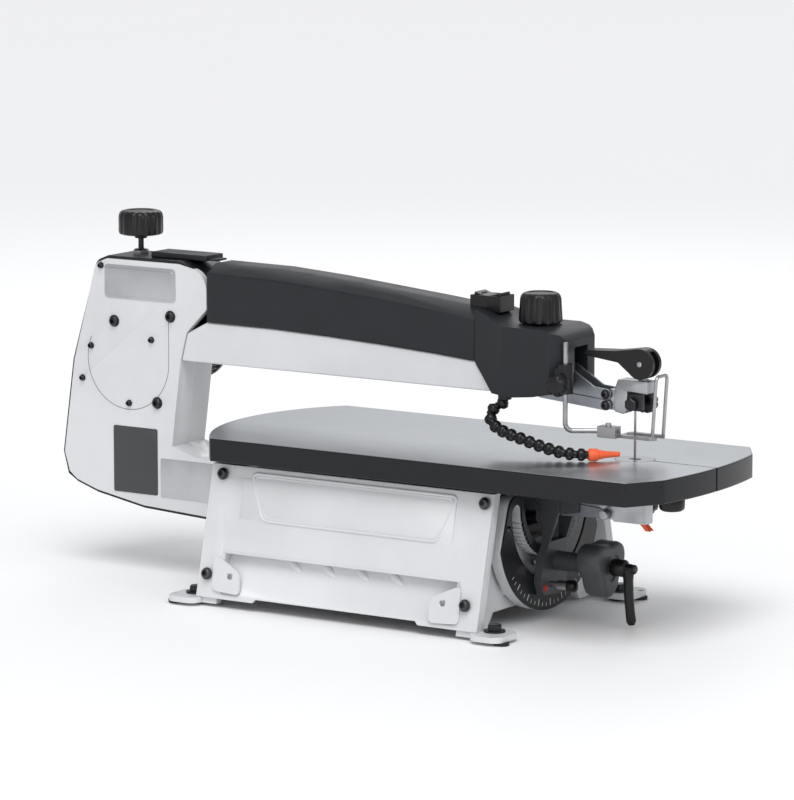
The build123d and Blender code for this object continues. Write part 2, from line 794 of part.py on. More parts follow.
# ---- lower arm -----------------------------------------------------------------------
beam_roof = -40
beam_floor = lower_rod_z - 14
beam_half = 16
beam_wall = 4
beam_front = front_wall_x + 4
nose_floor = lower_pin_z + link_drop - pair_gap - 9.5
bracket_x = quadrant_front + 0.6
bracket_wall = 9
with BuildPart() as lower_arm_casting:
    block(neck_front + 0.1, beam_front, -beam_half, beam_half, beam_floor, beam_roof)
    hollow = beam_half - beam_wall
    low, high = beam_floor + beam_wall, beam_roof - beam_wall
    block(neck_front + beam_wall, beam_front + 1, -hollow, hollow, low, high, Mode.SUBTRACT)
    block(neck_front - 5, neck_front + 5, -7, 7, lower_rod_z - 7, lower_rod_z + 7, Mode.SUBTRACT)
    # Two cheeks run on through the quadrant's notch and hold the links.
    for hand in (-1, 1):
        with BuildSketch(side(hand * 11.6)):
            outline(
                (beam_front - 20, beam_roof),
                (beam_front - 20, nose_floor),
                (-72, nose_floor),
                (-58, lower_pin_z - 12),
                (-58, lower_pin_z - 2),
                (-72, beam_roof + 5),
                (beam_front, beam_roof + 5),
            )
        extrude(amount=-hand * 3.4)
        for z in (lower_pin_z + link_drop, lower_pin_z + link_drop - pair_gap):
            across(pivot_x, z, pivot_r, hand * 8, hand * 16, Mode.SUBTRACT)
save(lower_arm_casting, "lower_arm_casting")

tilt_knob_x = -52
# The tilt bracket hangs in front of the quadrant and carries the clamp stud.
with BuildPart() as tilt_bracket:
    for hand in (-1, 1):
        with BuildSketch(side(hand * 15.1)):
            outline(
                (bracket_x, lower_pin_z + 4),
                (bracket_x, -stud_drop + 14),
                (bracket_x + 6, -stud_drop + 14),
                (bracket_x + 20, nose_floor + 2),
                (bracket_x + 20, lower_pin_z + 4),
            )
        extrude(amount=-hand * 3)
    with BuildSketch(front(bracket_x)):
        outline(
            (-18.1, -stud_drop + 22),
            (18.1, -stud_drop + 22),
            (16, -stud_drop - 26),
            (6, -stud_drop - 34),
            (-28, -stud_drop - 32),
            (-34, -stud_drop - 18),
            (-30, -stud_drop + 4),
        )
    extrude(amount=bracket_wall)
    lengthways(0, -stud_drop, 10, bracket_x + bracket_wall - 1, tilt_knob_x - 1)
    lengthways(0, -stud_drop, stud_r, bracket_x - 5, tilt_knob_x, Mode.SUBTRACT)
    lengthways(-14, -stud_drop - 22, 3, bracket_x - 5, bracket_x + 20, Mode.SUBTRACT)
save(tilt_bracket, "tilt_bracket")

clamp_shoe_x = quadrant_back - 0.6
tilt_knob_depth = 26
lever_hub_x = tilt_knob_x + tilt_knob_depth + 1
with BuildPart() as tilt_clamp_stud:
    lengthways(0, -stud_drop, stud_r, clamp_shoe_x - 3.5, lever_hub_x + 15)
    lengthways(0, -stud_drop, 8, clamp_shoe_x - 3.5, clamp_shoe_x)
save(tilt_clamp_stud, "tilt_clamp_stud")

with BuildPart() as tilt_knob:
    with BuildSketch(front(tilt_knob_x)) as lobes:
        with Locations((0, -stud_drop)):
            Circle(21)
            with PolarLocations(19, 3, start_angle=30):
                Circle(13.5)
    extrude(amount=tilt_knob_depth)
    chamfer(tilt_knob.faces().sort_by(Axis.X)[-1].edges(), 3)
    lengthways(0, -stud_drop, stud_r + shaft_gap, tilt_knob_x - 1, lever_hub_x + 1, Mode.SUBTRACT)
save(tilt_knob, "tilt_knob")

lever_reach = 58
with BuildPart() as lock_lever:
    lengthways(0, -stud_drop, 9, lever_hub_x, lever_hub_x + 20)
    with BuildSketch(side(0)):
        outline(
            (lever_hub_x + 6, -stud_drop),
            (lever_hub_x + 19, -stud_drop),
            (lever_hub_x + 27, -stud_drop - lever_reach),
            (lever_hub_x + 17, -stud_drop - lever_reach),
        )
    extrude(amount=5, both=True)
    lengthways(0, -stud_drop, stud_r + shaft_gap, lever_hub_x - 1, lever_hub_x + 15.5, Mode.SUBTRACT)
save(lock_lever, "lock_lever")

with BuildPart() as tilt_stop_pin:
    lengthways(-14, -stud_drop - 22, 3, bracket_x + 1, bracket_x + 30)
    lengthways(-14, -stud_drop - 22, 5, bracket_x + 18, bracket_x + 34)
save(tilt_stop_pin, "tilt_stop_pin")

# ---- drive ---------------------------------------------------------------------------
with BuildPart() as motor:
    across(motor_x, motor_z, motor_r - 6, web_near + web_wall, cover_half + 6)
    across(motor_x, motor_z, motor_r, cover_half + 0.5, cover_half + 0.5 + motor_length)
    fillet(motor.edges().filter_by(GeomType.CIRCLE).sort_by(Axis.Y)[-1], 5)
    across(motor_x, motor_z, shaft_r + shaft_gap, 10, 40, Mode.SUBTRACT)
save(motor, "motor")

with BuildPart() as motor_eccentric:
    across(motor_x, motor_z, shaft_r, -3, 38)
    across(motor_x, motor_z + eccentric_throw, eccentric_r, -3, 3)
save(motor_eccentric, "motor_eccentric")

ring_bore = 16.8
with BuildPart() as drive_rocker:
    for y_near in (-6.5, 3.5):
        with BuildSketch(side(y_near + 3)):
            with Locations((rocker_x, upper_rod_z), (rocker_x, lower_rod_z)):
                Circle(6)
            with Locations((rocker_x, rocker_z)):
                Circle(8)
            outline(
                (rocker_x - 5, upper_rod_z),
                (rocker_x + 5, upper_rod_z),
                (rocker_x + 6.5, rocker_z),
                (rocker_x + 4, lower_rod_z),
                (rocker_x - 5, lower_rod_z),
                (rocker_x - 7, rocker_z),
            )
        extrude(amount=3)
    across(rocker_x, rocker_z, 8, -6.5, 6.5)
    for z in (upper_rod_z, lower_rod_z):
        across(rocker_x, z, pin_r, -6.5, 6.5)
    with BuildSketch(side(3)):
        with Locations((motor_x, motor_z)):
            Circle(ring_bore + 5)
        with Locations(((rocker_x + motor_x) / 2 + 8, motor_z)):
            Rectangle(rocker_x - motor_x - 16, 12)
    extrude(amount=6)
    block(rocker_x - 5, rocker_x + 3, -4, 4, motor_z - 6, motor_z + 6)
    across(motor_x, motor_z, ring_bore, -8, 8, Mode.SUBTRACT)
    across(rocker_x, rocker_z, pivot_r + shaft_gap, -10, 10, Mode.SUBTRACT)
save(drive_rocker, "drive_rocker")


def push_rod(z, name):
    """Long push rod from the rocker to a link, with an eye at each end."""
    with BuildPart() as rod:
        lengthways(0, z, rod_r, rocker_x + 5, pivot_x - 5)
        for x in (rocker_x, pivot_x):
            across(x, z, eye_r - 1, -3, 3)
            across(x, z, pin_r + 0.45, -4, 4, Mode.SUBTRACT)
    save(rod, name)


push_rod(upper_rod_z, "upper_push_rod")
push_rod(lower_rod_z, "lower_push_rod")


# ---- blade clamps --------------------------------------------------------------------
clamp_half = 7
blade_wide = 3
blade_wall = 0.6
upper_clamp_foot = 46
upper_clamp_top = 81
lower_clamp_top = -40
lower_clamp_foot = -65
lever_pivot_x, lever_pivot_z = 9, 98
lever_r = 15.5


def blade_slot(z_from, z_to):
    """Slit that takes the blade, cut from the open clamp."""
    block(-blade_wide, blade_wide, -0.7, 0.7, z_from, z_to, Mode.SUBTRACT)


with BuildPart() as upper_clamp_body:
    with BuildSketch(side(0)):
        outline(
            (-20, upper_clamp_foot + 4),
            (-14, upper_clamp_foot),
            (12, upper_clamp_foot),
            (18, upper_clamp_foot + 6),
            (18, upper_clamp_top),
            (-14, upper_clamp_top),
            (-20, upper_clamp_top - 8),
        )
    extrude(amount=clamp_half, both=True)
    with BuildSketch(side(0)):
        with Locations((pin_x, upper_pin_z), (pin_x, upper_pin_z - pair_gap)):
            Circle(5)
        outline(
            (pin_x, upper_pin_z + 5),
            (-18, upper_pin_z + 5),
            (-18, upper_pin_z - pair_gap - 5),
            (pin_x, upper_pin_z - pair_gap - 5),
        )
    extrude(amount=clamp_half, both=True)
    block(lever_pivot_x - 4, lever_pivot_x + 4, -4, 4, upper_clamp_top - 1, lever_pivot_z + 3)
    across(lever_pivot_x, lever_pivot_z, pivot_r, -10, 10)
    for z in (upper_pin_z, upper_pin_z - pair_gap):
        across(pin_x, z, pin_r, -13, 13)
        across(pin_x, z, 4.6, 10.9, 15)
        across(pin_x, z, 4.6, -15, -10.9)
    blade_slot(upper_clamp_foot - 1, upper_clamp_foot + 16)
    across(0, 55, pin_r + shaft_gap, -0.5, 10, Mode.SUBTRACT)
save(upper_clamp_body, "upper_clamp_body")

with BuildPart() as lower_clamp_body:
    block(-21, 17, -clamp_half, clamp_half, lower_clamp_foot, lower_clamp_top)
    with BuildSketch(side(0)):
        with Locations((pin_x, lower_pin_z), (pin_x, lower_pin_z - pair_gap)):
            Circle(5)
        outline(
            (pin_x, lower_pin_z + 5),
            (-18, lower_pin_z + 5),
            (-18, lower_pin_z - pair_gap - 5),
            (pin_x, lower_pin_z - pair_gap - 5),
        )
    extrude(amount=clamp_half, both=True)
    for z in (lower_pin_z, lower_pin_z - pair_gap):
        across(pin_x, z, pin_r, -13, 13)
        across(pin_x, z, 4.6, 10.9, 15)
        across(pin_x, z, 4.6, -15, -10.9)
    blade_slot(lower_clamp_top - 16, lower_clamp_top + 1)
    across(0, -50, pin_r + shaft_gap, -0.5, 10, Mode.SUBTRACT)
save(lower_clamp_body, "lower_clamp_body")

with BuildPart() as saw_blade:
    wide, wall = blade_wide / 2, blade_wall / 2
    block(-wide, wide, -wall, wall, lower_clamp_top - 14, upper_clamp_foot + 14)
save(saw_blade, "saw_blade")

for name, z, knob_length in (("upper_blade_knob", 55, 24), ("lower_blade_knob", -50, 26)):
    with BuildPart() as blade_knob:
        across(0, z, pin_r, 0.8, clamp_half + 3)
        across(0, z, 8.5, clamp_half + 0.5, clamp_half + knob_length)
        across(0, z, 11, clamp_half + 4, clamp_half + 12)
    save(blade_knob, name)

with BuildPart() as cam_lever:
    with BuildSketch(side(0)):
        with Locations((lever_pivot_x, lever_pivot_z)):
            Circle(lever_r)
        outline(
            (lever_pivot_x - 2, lever_pivot_z + lever_r),
            (-20, 109.5),
            (-52, 108),
            (-56, 104.5),
            (-50, 102),
            (-16, 98),
            (lever_pivot_x - 12, 88),
        )
    extrude(amount=9, both=True)
    block(lever_pivot_x - 18, lever_pivot_x + 18, -4.5, 4.5, 70, lever_pivot_z + lever_r - 3, Mode.SUBTRACT)
    block(-16, lever_pivot_x + 1, -4.5, 4.5, 96, 103, Mode.SUBTRACT)
    across(lever_pivot_x, lever_pivot_z, pivot_r + shaft_gap, -12, 12, Mode.SUBTRACT)
save(cam_lever, "cam_lever")

with BuildPart() as lower_release_tab:
    for hand in (-1, 1):
        with BuildSketch(side(hand * 1.5)):
            outline((8, lower_clamp_foot), (13, lower_clamp_foot), (20, -72), (15, -72))
        extrude(amount=-hand * 2.5)
save(lower_release_tab, "lower_release_tab")

# ---- controls ------------------------------------------------------------------------
speed_knob_r = 22.5
knob_foot = 130.4
with BuildPart() as speed_knob:
    upright(knob_x, 0, speed_knob_r, knob_foot, knob_foot + 27)
    upright(knob_x, 0, speed_knob_r - 2, knob_foot + 26.5, knob_foot + 31)
    upright(knob_x, 0, pivot_r, 108, knob_foot + 1)
save(speed_knob, "speed_knob")

switch_x = -170
with BuildPart() as switch_housing:
    block(switch_x - 18, switch_x + 18, -14, 14, 138.5, 155)
    block(switch_x - 15.5, switch_x + 15.5, -11.5, 11.5, 148, 156, Mode.SUBTRACT)
    add(upper_arm_cover.part, mode=Mode.SUBTRACT)
    add(head_housing.part, mode=Mode.SUBTRACT)
save(switch_housing, "switch_housing")

with BuildPart() as power_switch:
    block(switch_x - 14.5, switch_x + 14.5, -11, 11, 151.6, 158)
    across(switch_x, 151.6, 2, -11, 11)
save(power_switch, "power_switch")

tension_x = column_front - 60.6
tension_foot = 187.6
with BuildPart() as tension_knob:
    upright(tension_x, 0, 24, tension_foot + 3, tension_foot + 26)
    upright(tension_x, 0, 14, tension_foot, tension_foot + 3.5)
    upright(tension_x, 0, pivot_r - shaft_gap, column_top - 14, tension_foot + 1)
save(tension_knob, "tension_knob")

with BuildPart() as arm_latch:
    block(column_front - 36, column_front + 36, -16, 16, column_top + 0.1, column_top + 6)
    block(column_front + 30, column_front + 46, -9, 9, column_top + 0.1, column_top + 2.4)
    add(upper_arm_cover.part, mode=Mode.SUBTRACT)
save(arm_latch, "arm_latch")

# ---- hold-down -----------------------------------------------------------------------
guide_x, guide_y = -62, -34
guide_r = 2.5
foot_z_hold = 27.9
with BuildPart() as hold_down_guide:
    upright(guide_x, guide_y, 8, 66, 96)
    block(head_nose - 8, guide_x, guide_y - 5, guide_y + 9, 72, 92)
    add(head_housing.part, mode=Mode.SUBTRACT)
    upright(guide_x, guide_y, guide_r + shaft_gap, 60, 100, Mode.SUBTRACT)
    across(guide_x, 76, pin_r + shaft_gap, guide_y - 12, guide_y - 1, Mode.SUBTRACT)
save(hold_down_guide, "hold_down_guide")

with BuildPart() as hold_down_knob:
    across(guide_x, 76, pin_r, guide_y - 10, guide_y - 3)
    across(guide_x, 76, 11.5, guide_y - 23, guide_y - 9)
save(hold_down_knob, "hold_down_knob")

with BuildPart() as hold_down_rod:
    with BuildLine() as rod_path:
        FilletPolyline(
            (blade_x + guide_x, guide_y, table_height + 118),
            (blade_x + guide_x, guide_y, table_height + foot_z_hold),
            (blade_x - 34, -16, table_height + foot_z_hold),
            (blade_x - 13, -16, table_height + foot_z_hold),
            radius=8,
        )
    with BuildSketch(Plane(rod_path.line @ 0, z_dir=rod_path.line % 0)):
        Circle(guide_r)
    sweep()
save(hold_down_rod, "hold_down_rod")

wire_r = 1.8
with BuildPart() as hold_down_foot:
    with BuildSketch(level(foot_z_hold - 5.5)):
        with Locations((8, 0)):
            RectangleRounded(42, 28, 6)
        with Locations((12, 0)):
            RectangleRounded(42, 14, 5, mode=Mode.SUBTRACT)
    extrude(amount=3)
    block(-32, -11, -22, -10, foot_z_hold - 5.5, foot_z_hold + 6)
    upright(-22, -16, 3, foot_z_hold + 4, foot_z_hold + 9)
    lengthways(-16, foot_z_hold, guide_r, -40, -10, Mode.SUBTRACT)
save(hold_down_foot, "hold_down_foot")

with BuildPart() as blade_guard:
    with BuildLine() as guard_path:
        FilletPolyline(
            (blade_x + 26, -11, table_height + foot_z_hold - 2.4),
            (blade_x + 30, -11, table_height + 87),
            (blade_x + 30, 11, table_height + 87),
            (blade_x + 26, 11, table_height + foot_z_hold - 2.4),
            radius=5,
        )
    with BuildSketch(Plane(guard_path.line @ 0, z_dir=guard_path.line % 0)):
        Circle(wire_r)
    sweep()
save(blade_guard, "blade_guard")

# ---- air hose ------------------------------------------------------------------------
hose_route = [
    (-136, -30, 50),
    (-146, -33, 45),
    (-150, -37, 36.5),
    (-143, -42, 28.5),
    (-131, -46, 24),
    (-118, -49, 21),
    (-105, -50, 18.5),
    (-92, -51, 15.5),
    (-79, -51, 12.5),
    (-66, -51, 10),
    (-53, -50, 8),
    (-41, -46, 7.3),
    (-31, -40, 7),
]
hose_tip = (-9, -13, 6)
bead_r = 6
with BuildPart() as hose_socket:
    upright(hose_route[0][0], hose_route[0][1], bead_r + 1, 53.5, 60)
    upright(hose_route[0][0], hose_route[0][1], bead_r - 3, 53, 61, Mode.SUBTRACT)
    add(head_housing.part, mode=Mode.SUBTRACT)
save(hose_socket, "hose_socket")


def on_saw(point):
    """Point measured from the blade line, in the part's frame."""
    return Vector(blade_x + point[0], point[1], table_height + point[2])


with BuildPart() as air_hose:
    for near, far in zip(hose_route, hose_route[1:]):
        run = on_saw(far) - on_saw(near)
        with BuildSketch(Plane(on_saw(near), z_dir=run)):
            Circle(bead_r - 2)
        extrude(amount=run.length)
    with Locations(*[on_saw(point) for point in hose_route[1:]]):
        Sphere(bead_r)
    upright(hose_route[0][0], hose_route[0][1], bead_r - 1, 48, 53.2)
save(air_hose, "air_hose")

with BuildPart() as hose_nozzle:
    tip_run = on_saw(hose_tip) - on_saw(hose_route[-1])
    start = on_saw(hose_route[-1]) + tip_run.normalized() * (bead_r + 0.05)
    with BuildSketch(Plane(start, z_dir=tip_run)):
        Circle(5.6)
    extrude(amount=5)
    with BuildSketch(Plane(start + tip_run.normalized() * 5, z_dir=tip_run)):
        Circle(5.6)
    extrude(amount=tip_run.length - bead_r - 5, taper=8)
save(hose_nozzle, "hose_nozzle")

# ---- plates and fittings -------------------------------------------------------------
with BuildPart() as column_plates:
    for x_from, x_to, z_from, z_to in (
        (column_front - 87, column_front + 6, 121, 157),
        (column_front - 77, column_front - 19, -89, -17),
        (column_front - 15, column_front + 59, -90, -48),
    ):
        block(x_from, x_to, -cover_half - 1, -cover_half, z_from, z_to)
    fillet(column_plates.edges().filter_by(Axis.Y), 3)
save(column_plates, "column_plates")

with BuildPart() as cord_gland:
    lengthways(0, -60, 8, column_rear - 14, column_rear - 1.6)
    lengthways(0, -60, 5, column_rear - 15, column_rear, Mode.SUBTRACT)
    add(frame_core.part, mode=Mode.SUBTRACT)
save(cord_gland, "cord_gland")
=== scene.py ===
"""Looks of a bench-top scroll saw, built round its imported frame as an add-on."""

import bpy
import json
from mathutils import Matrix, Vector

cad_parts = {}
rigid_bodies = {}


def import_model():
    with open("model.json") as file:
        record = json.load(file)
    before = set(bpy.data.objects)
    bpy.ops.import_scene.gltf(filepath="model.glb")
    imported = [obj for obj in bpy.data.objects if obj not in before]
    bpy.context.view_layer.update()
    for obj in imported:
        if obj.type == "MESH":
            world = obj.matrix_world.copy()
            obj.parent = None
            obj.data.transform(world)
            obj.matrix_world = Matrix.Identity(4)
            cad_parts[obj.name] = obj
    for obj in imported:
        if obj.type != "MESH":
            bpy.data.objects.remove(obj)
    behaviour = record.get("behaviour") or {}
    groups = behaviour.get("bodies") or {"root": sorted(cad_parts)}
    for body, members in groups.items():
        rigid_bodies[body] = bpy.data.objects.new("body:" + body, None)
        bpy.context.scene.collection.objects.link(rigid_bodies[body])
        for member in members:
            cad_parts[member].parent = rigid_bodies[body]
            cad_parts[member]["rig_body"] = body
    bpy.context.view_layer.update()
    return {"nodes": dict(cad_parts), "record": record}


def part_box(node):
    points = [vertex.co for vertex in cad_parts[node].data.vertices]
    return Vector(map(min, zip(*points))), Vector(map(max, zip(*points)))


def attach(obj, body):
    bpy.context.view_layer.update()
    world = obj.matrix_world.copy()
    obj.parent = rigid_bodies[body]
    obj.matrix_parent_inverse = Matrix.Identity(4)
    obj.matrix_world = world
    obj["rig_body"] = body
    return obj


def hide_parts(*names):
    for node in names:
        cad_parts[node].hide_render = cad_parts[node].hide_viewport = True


bl_info = {
    "name": "Scroll Saw Looks",
    "version": (1, 0, 0),
    "blender": (4, 5, 0),
    "location": "3D View > Sidebar > Scroll Saw",
    "description": "Finishes, knobs, screws, hose and plates of a bench-top scroll saw",
    "category": "Object",
}

import json
import math

import bmesh
import bpy
import numpy as np
from bpy.props import FloatProperty, FloatVectorProperty, IntProperty, PointerProperty
from mathutils import Matrix, Vector

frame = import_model()
MM = 0.001
TABLE_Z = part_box("table_top")[1].z
BLADE_X = sum(corner.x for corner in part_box("saw_blade")) / 2
BLADE_LINE = np.array([BLADE_X, 0.0, TABLE_Z])
ALONG = (1, 0, 0)
ACROSS = (0, 1, 0)
UP = (0, 0, 1)
PANEL_RIM = (108, -30)  # half width and height of a side panel's upper edge
PANEL_LEAN = math.atan2(35, 145)
CAMERA_PLACE = (2.5588, -3.9620, 0.9587)
CAMERA_LOOK = (-0.53793, 0.82835, -0.15643)
CAMERA_LENS = 207
AIM = (-0.1, 0.0, 0.18)  # where the lamps point


# ---- places and shapes ----------------------------------------------------------------
def at(points):
    """Points in millimetres from the blade line on the table top, as metres in the saw's frame."""
    return np.asarray(points, float) * MM + BLADE_LINE


def span(node):
    """Lowest and highest corner of a CAD node, in millimetres from the blade line."""
    low, high = (np.array(corner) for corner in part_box(node))
    return (low - BLADE_LINE) / MM, (high - BLADE_LINE) / MM


def islands(node):
    """Low and high corners, in mm, of each solid in a node: labels spread over triangles until still."""
    mesh = frame["nodes"][node].data
    spots = np.empty(len(mesh.vertices) * 3)
    mesh.vertices.foreach_get("co", spots)
    spots = spots.reshape(-1, 3)
    weld = np.unique(np.round(spots, 6), axis=0, return_inverse=True)[1].ravel()
    corners = np.empty(len(mesh.loops), int)
    mesh.loops.foreach_get("vertex_index", corners)
    triangles = weld[corners.reshape(-1, 3)]
    label = np.arange(weld.max() + 1)
    while True:
        spread = label.copy()
        np.minimum.at(spread, triangles.ravel(), np.repeat(label[triangles].min(1), 3))
        spread = spread[spread]
        if (spread == label).all():
            break
        label = spread
    owner = label[weld]
    inside = (spots - BLADE_LINE) / MM
    return [(inside[owner == k].min(0), inside[owner == k].max(0)) for k in np.unique(owner)]


def basis(axis):
    """Unit axis and two unit vectors square to it."""
    axis = np.asarray(axis, float) / np.linalg.norm(axis)
    other = np.array(UP, float) if abs(axis[2]) < 0.9 else np.array(ALONG, float)
    first = np.cross(other, axis)
    first /= np.linalg.norm(first)
    return axis, first, np.cross(axis, first)


def shell(rows, caps=True):
    """Grid of points, rows by columns, closed round each row; each end shrinks to its middle."""
    rows = np.asarray(rows, float)
    if caps:
        start = np.repeat(rows[:1].mean(1, keepdims=True), rows.shape[1], axis=1)
        end = np.repeat(rows[-1:].mean(1, keepdims=True), rows.shape[1], axis=1)
        rows = np.concatenate([start, rows, end])
    count, around = rows.shape[:2]
    near = np.arange(count - 1)[:, None] * around + np.arange(around)[None, :]
    side = np.arange(count - 1)[:, None] * around + (np.arange(around)[None, :] + 1) % around
    faces = np.stack([near, side, side + around, near + around], axis=-1).reshape(-1, 4)
    return rows.reshape(-1, 3), faces.tolist()


def lathe(profile, origin, axis=UP, sides=40, shape=None):
    """Point = origin + axis * height + radius * (first * cos a + second * sin a).
    The profile lists (height, radius); shape(a, share of the profile) scales the radius."""
    axis, first, second = basis(axis)
    height, radius = np.asarray(profile, float).T
    turn = np.linspace(0, 2 * math.pi, sides, endpoint=False)
    spread = radius[:, None] * np.ones(sides)[None, :]
    if shape is not None:
        spread = spread * shape(turn[None, :], np.linspace(0, 1, len(height))[:, None])
    ring = first * np.cos(turn)[:, None] + second * np.sin(turn)[:, None]
    rows = np.asarray(origin, float) + axis * height[:, None, None] + spread[..., None] * ring[None]
    return shell(rows)


def hexagon(turn, share):
    """Radius of a six-sided outline of inscribed radius 1, the same along its height."""
    return 1 / np.cos((turn + math.pi / 6) % (math.pi / 3) - math.pi / 6) + 0 * share


def fluted(count, depth, low=0.0, high=1.0):
    """Radius dips by depth at each flute, only between the low and high shares of the profile."""

    def shape(turn, share):
        inside = (share >= low) & (share <= high)
        return 1 - depth * inside * (0.5 + 0.5 * np.cos(count * turn)) ** 2

    return shape


def lobed(count, depth, start):
    """Radius follows a cosine with one crest for each lobe."""
    return lambda turn, share: 1 + depth * np.cos(count * (turn - start)) + 0 * share


def tube(path, radius, sides=14, away=UP):
    """Circles carried along a path, each square to the path's direction there."""
    path = np.asarray(path, float)
    run = np.gradient(path, axis=0)
    run /= np.linalg.norm(run, axis=1, keepdims=True)
    first = np.cross(run, np.asarray(away, float))
    first /= np.linalg.norm(first, axis=1, keepdims=True)
    second = np.cross(run, first)
    turn = np.linspace(0, 2 * math.pi, sides, endpoint=False)[None, :, None]
    radius = np.broadcast_to(np.asarray(radius, float), (len(path),))[:, None, None]
    return shell(path[:, None] + radius * (first[:, None] * np.cos(turn) + second[:, None] * np.sin(turn)))


def soft_block(low, high, edge=1.0, sides=32, rings=18):
    """Box with round edges: the corner of the inner box that a direction points to, plus edge times it."""
    low, high = np.asarray(low, float), np.asarray(high, float)
    middle, inner = (low + high) / 2, (high - low) / 2 - edge
    lift = np.linspace(-math.pi / 2, math.pi / 2, rings)[:, None]
    turn = np.linspace(0, 2 * math.pi, sides, endpoint=False)[None, :] + math.pi / sides
    way = np.stack(
        [np.cos(lift) * np.cos(turn), np.cos(lift) * np.sin(turn), np.sin(lift) + 0 * turn], axis=-1
    )
    return shell(middle + np.sign(np.round(way, 6)) * inner + edge * way)


def rounded(corners, radius, steps=6):
    """Outline whose corners are quadratic curves from radius before each corner to radius after it."""
    corners = np.asarray(corners, float)
    before, after = np.roll(corners, 1, axis=0), np.roll(corners, -1, axis=0)
    back, on = before - corners, after - corners
    back_run = np.linalg.norm(back, axis=1, keepdims=True)
    on_run = np.linalg.norm(on, axis=1, keepdims=True)
    start = corners + back * np.minimum(radius / back_run, 0.48)
    end = corners + on * np.minimum(radius / on_run, 0.48)
    share = np.linspace(0, 1, steps)[None, :, None]
    curve = (1 - share) ** 2 * start[:, None] + 2 * share * (1 - share) * corners[:, None]
    return (curve + share**2 * end[:, None]).reshape(-1, 2)


def plate(outline, low, high, edge, place):
    """Outline raised from low to high, its rim drawn in along a quarter circle at both faces.
    place(u, v, height) puts each point; the faces are flat polygons."""
    outline = np.asarray(outline, float)
    if (outline[:, 0] * np.roll(outline[:, 1], -1) - outline[:, 1] * np.roll(outline[:, 0], -1)).sum() < 0:
        outline = outline[::-1]
    run = np.roll(outline, -1, axis=0) - np.roll(outline, 1, axis=0)
    out = np.stack([run[:, 1], -run[:, 0]], axis=1) / np.linalg.norm(run, axis=1, keepdims=True)
    bend = np.linspace(0, math.pi / 2, 4)
    inset = np.concatenate([1 - np.sin(bend), 1 - np.sin(bend)[::-1]]) * edge
    height = np.concatenate([low + edge * (1 - np.cos(bend)), high - edge * (1 - np.cos(bend))[::-1]])
    flat = outline[None] - out[None] * inset[:, None, None]
    points = place(flat[..., 0], flat[..., 1], height[:, None] + 0 * flat[..., 0])
    vertices, faces = shell(points, caps=False)
    count = len(outline)
    last = len(vertices) - count
    return vertices, faces + [list(range(count))[::-1], list(range(last, last + count))]


def standing(u, v, height):
    """Outline in X and Z, height along Y."""
    return np.stack([u, height, v], axis=-1)


def facing(u, v, height):
    """Outline in Y and Z, height along X."""
    return np.stack([height, u, v], axis=-1)


def piece(name, shells, finish, body, replaces=(), crease=38):
    """Joins shells given in mm into one object at the origin, welds it, turns faces out and rides it."""
    vertices, faces, base = [], [], 0
    for points, polygons in shells:
        vertices.append(points)
        faces += [[corner + base for corner in polygon] for polygon in polygons]
        base += len(points)
    mesh = bpy.data.meshes.new(name)
    mesh.from_pydata(at(np.concatenate(vertices)).tolist(), [], faces)
    weld = bmesh.new()
    weld.from_mesh(mesh)
    bmesh.ops.remove_doubles(weld, verts=weld.verts, dist=2e-6)
    bmesh.ops.recalc_face_normals(weld, faces=weld.faces)
    weld.to_mesh(mesh)
    weld.free()
    return settle(name, mesh, finish, body, replaces, crease)


def settle(name, mesh, finish, body, replaces, crease):
    """Object of a finished mesh with its finish, crease angle, body and the CAD nodes it stands for."""
    mesh.shade_smooth()
    mesh.set_sharp_from_angle(angle=math.radians(crease))
    mesh.materials.clear()
    mesh.materials.append(FINISHES[finish]())
    made = bpy.data.objects.new(name, mesh)
    bpy.context.scene.collection.objects.link(made)
    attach(made, body)
    if replaces:
        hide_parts(*replaces)
    return made


def softened(node, width, crease=38):
    """Merged copy of a CAD node whose flat faces are joined and whose edges get a round of that width."""
    source = frame["nodes"][node]
    mesh = source.data.copy()
    merged = bmesh.new()
    merged.from_mesh(mesh)
    bmesh.ops.remove_doubles(merged, verts=merged.verts, dist=5e-6)
    bmesh.ops.dissolve_limit(
        merged, angle_limit=math.radians(0.6), verts=merged.verts, edges=merged.edges
    )
    merged.to_mesh(mesh)
    merged.free()
    made = settle(node + "_shell", mesh, SLOT_OF[node], source["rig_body"], (node,), crease)
    edge = made.modifiers.new("edge", "BEVEL")
    edge.width = width * MM
    edge.segments = 2
    edge.limit_method = "ANGLE"
    edge.angle_limit = math.radians(crease)
    edge.use_clamp_overlap = True
    return made


# ---- finishes ---------------------------------------------------------------------------
class Field:
    """A socket whose value changes over a surface; sums and products of fields add Math nodes."""

    def __init__(self, paint, socket):
        self.paint = paint
        self.socket = socket

    def _math(self, operation, *others):
        values = {i: other for i, other in enumerate((self,) + others)}
        return self.paint.node("ShaderNodeMath", {"operation": operation}, values)

    def __add__(self, other):
        return self._math("ADD", other)

    def __mul__(self, other):
        return self._math("MULTIPLY", other)

    def __sub__(self, other):
        return self._math("SUBTRACT", other)

    def __rsub__(self, other):
        return self.paint.node("ShaderNodeMath", {"operation": "SUBTRACT"}, {0: other, 1: self})

    __radd__ = __add__
    __rmul__ = __mul__

    def between(self, low, high):
        """0 below low, 1 above high, a smooth ramp between them."""
        settings = {"interpolation_type": "SMOOTHSTEP"}
        values = {"Value": self, "From Min": low, "From Max": high}
        return self.paint.node("ShaderNodeMapRange", settings, values)


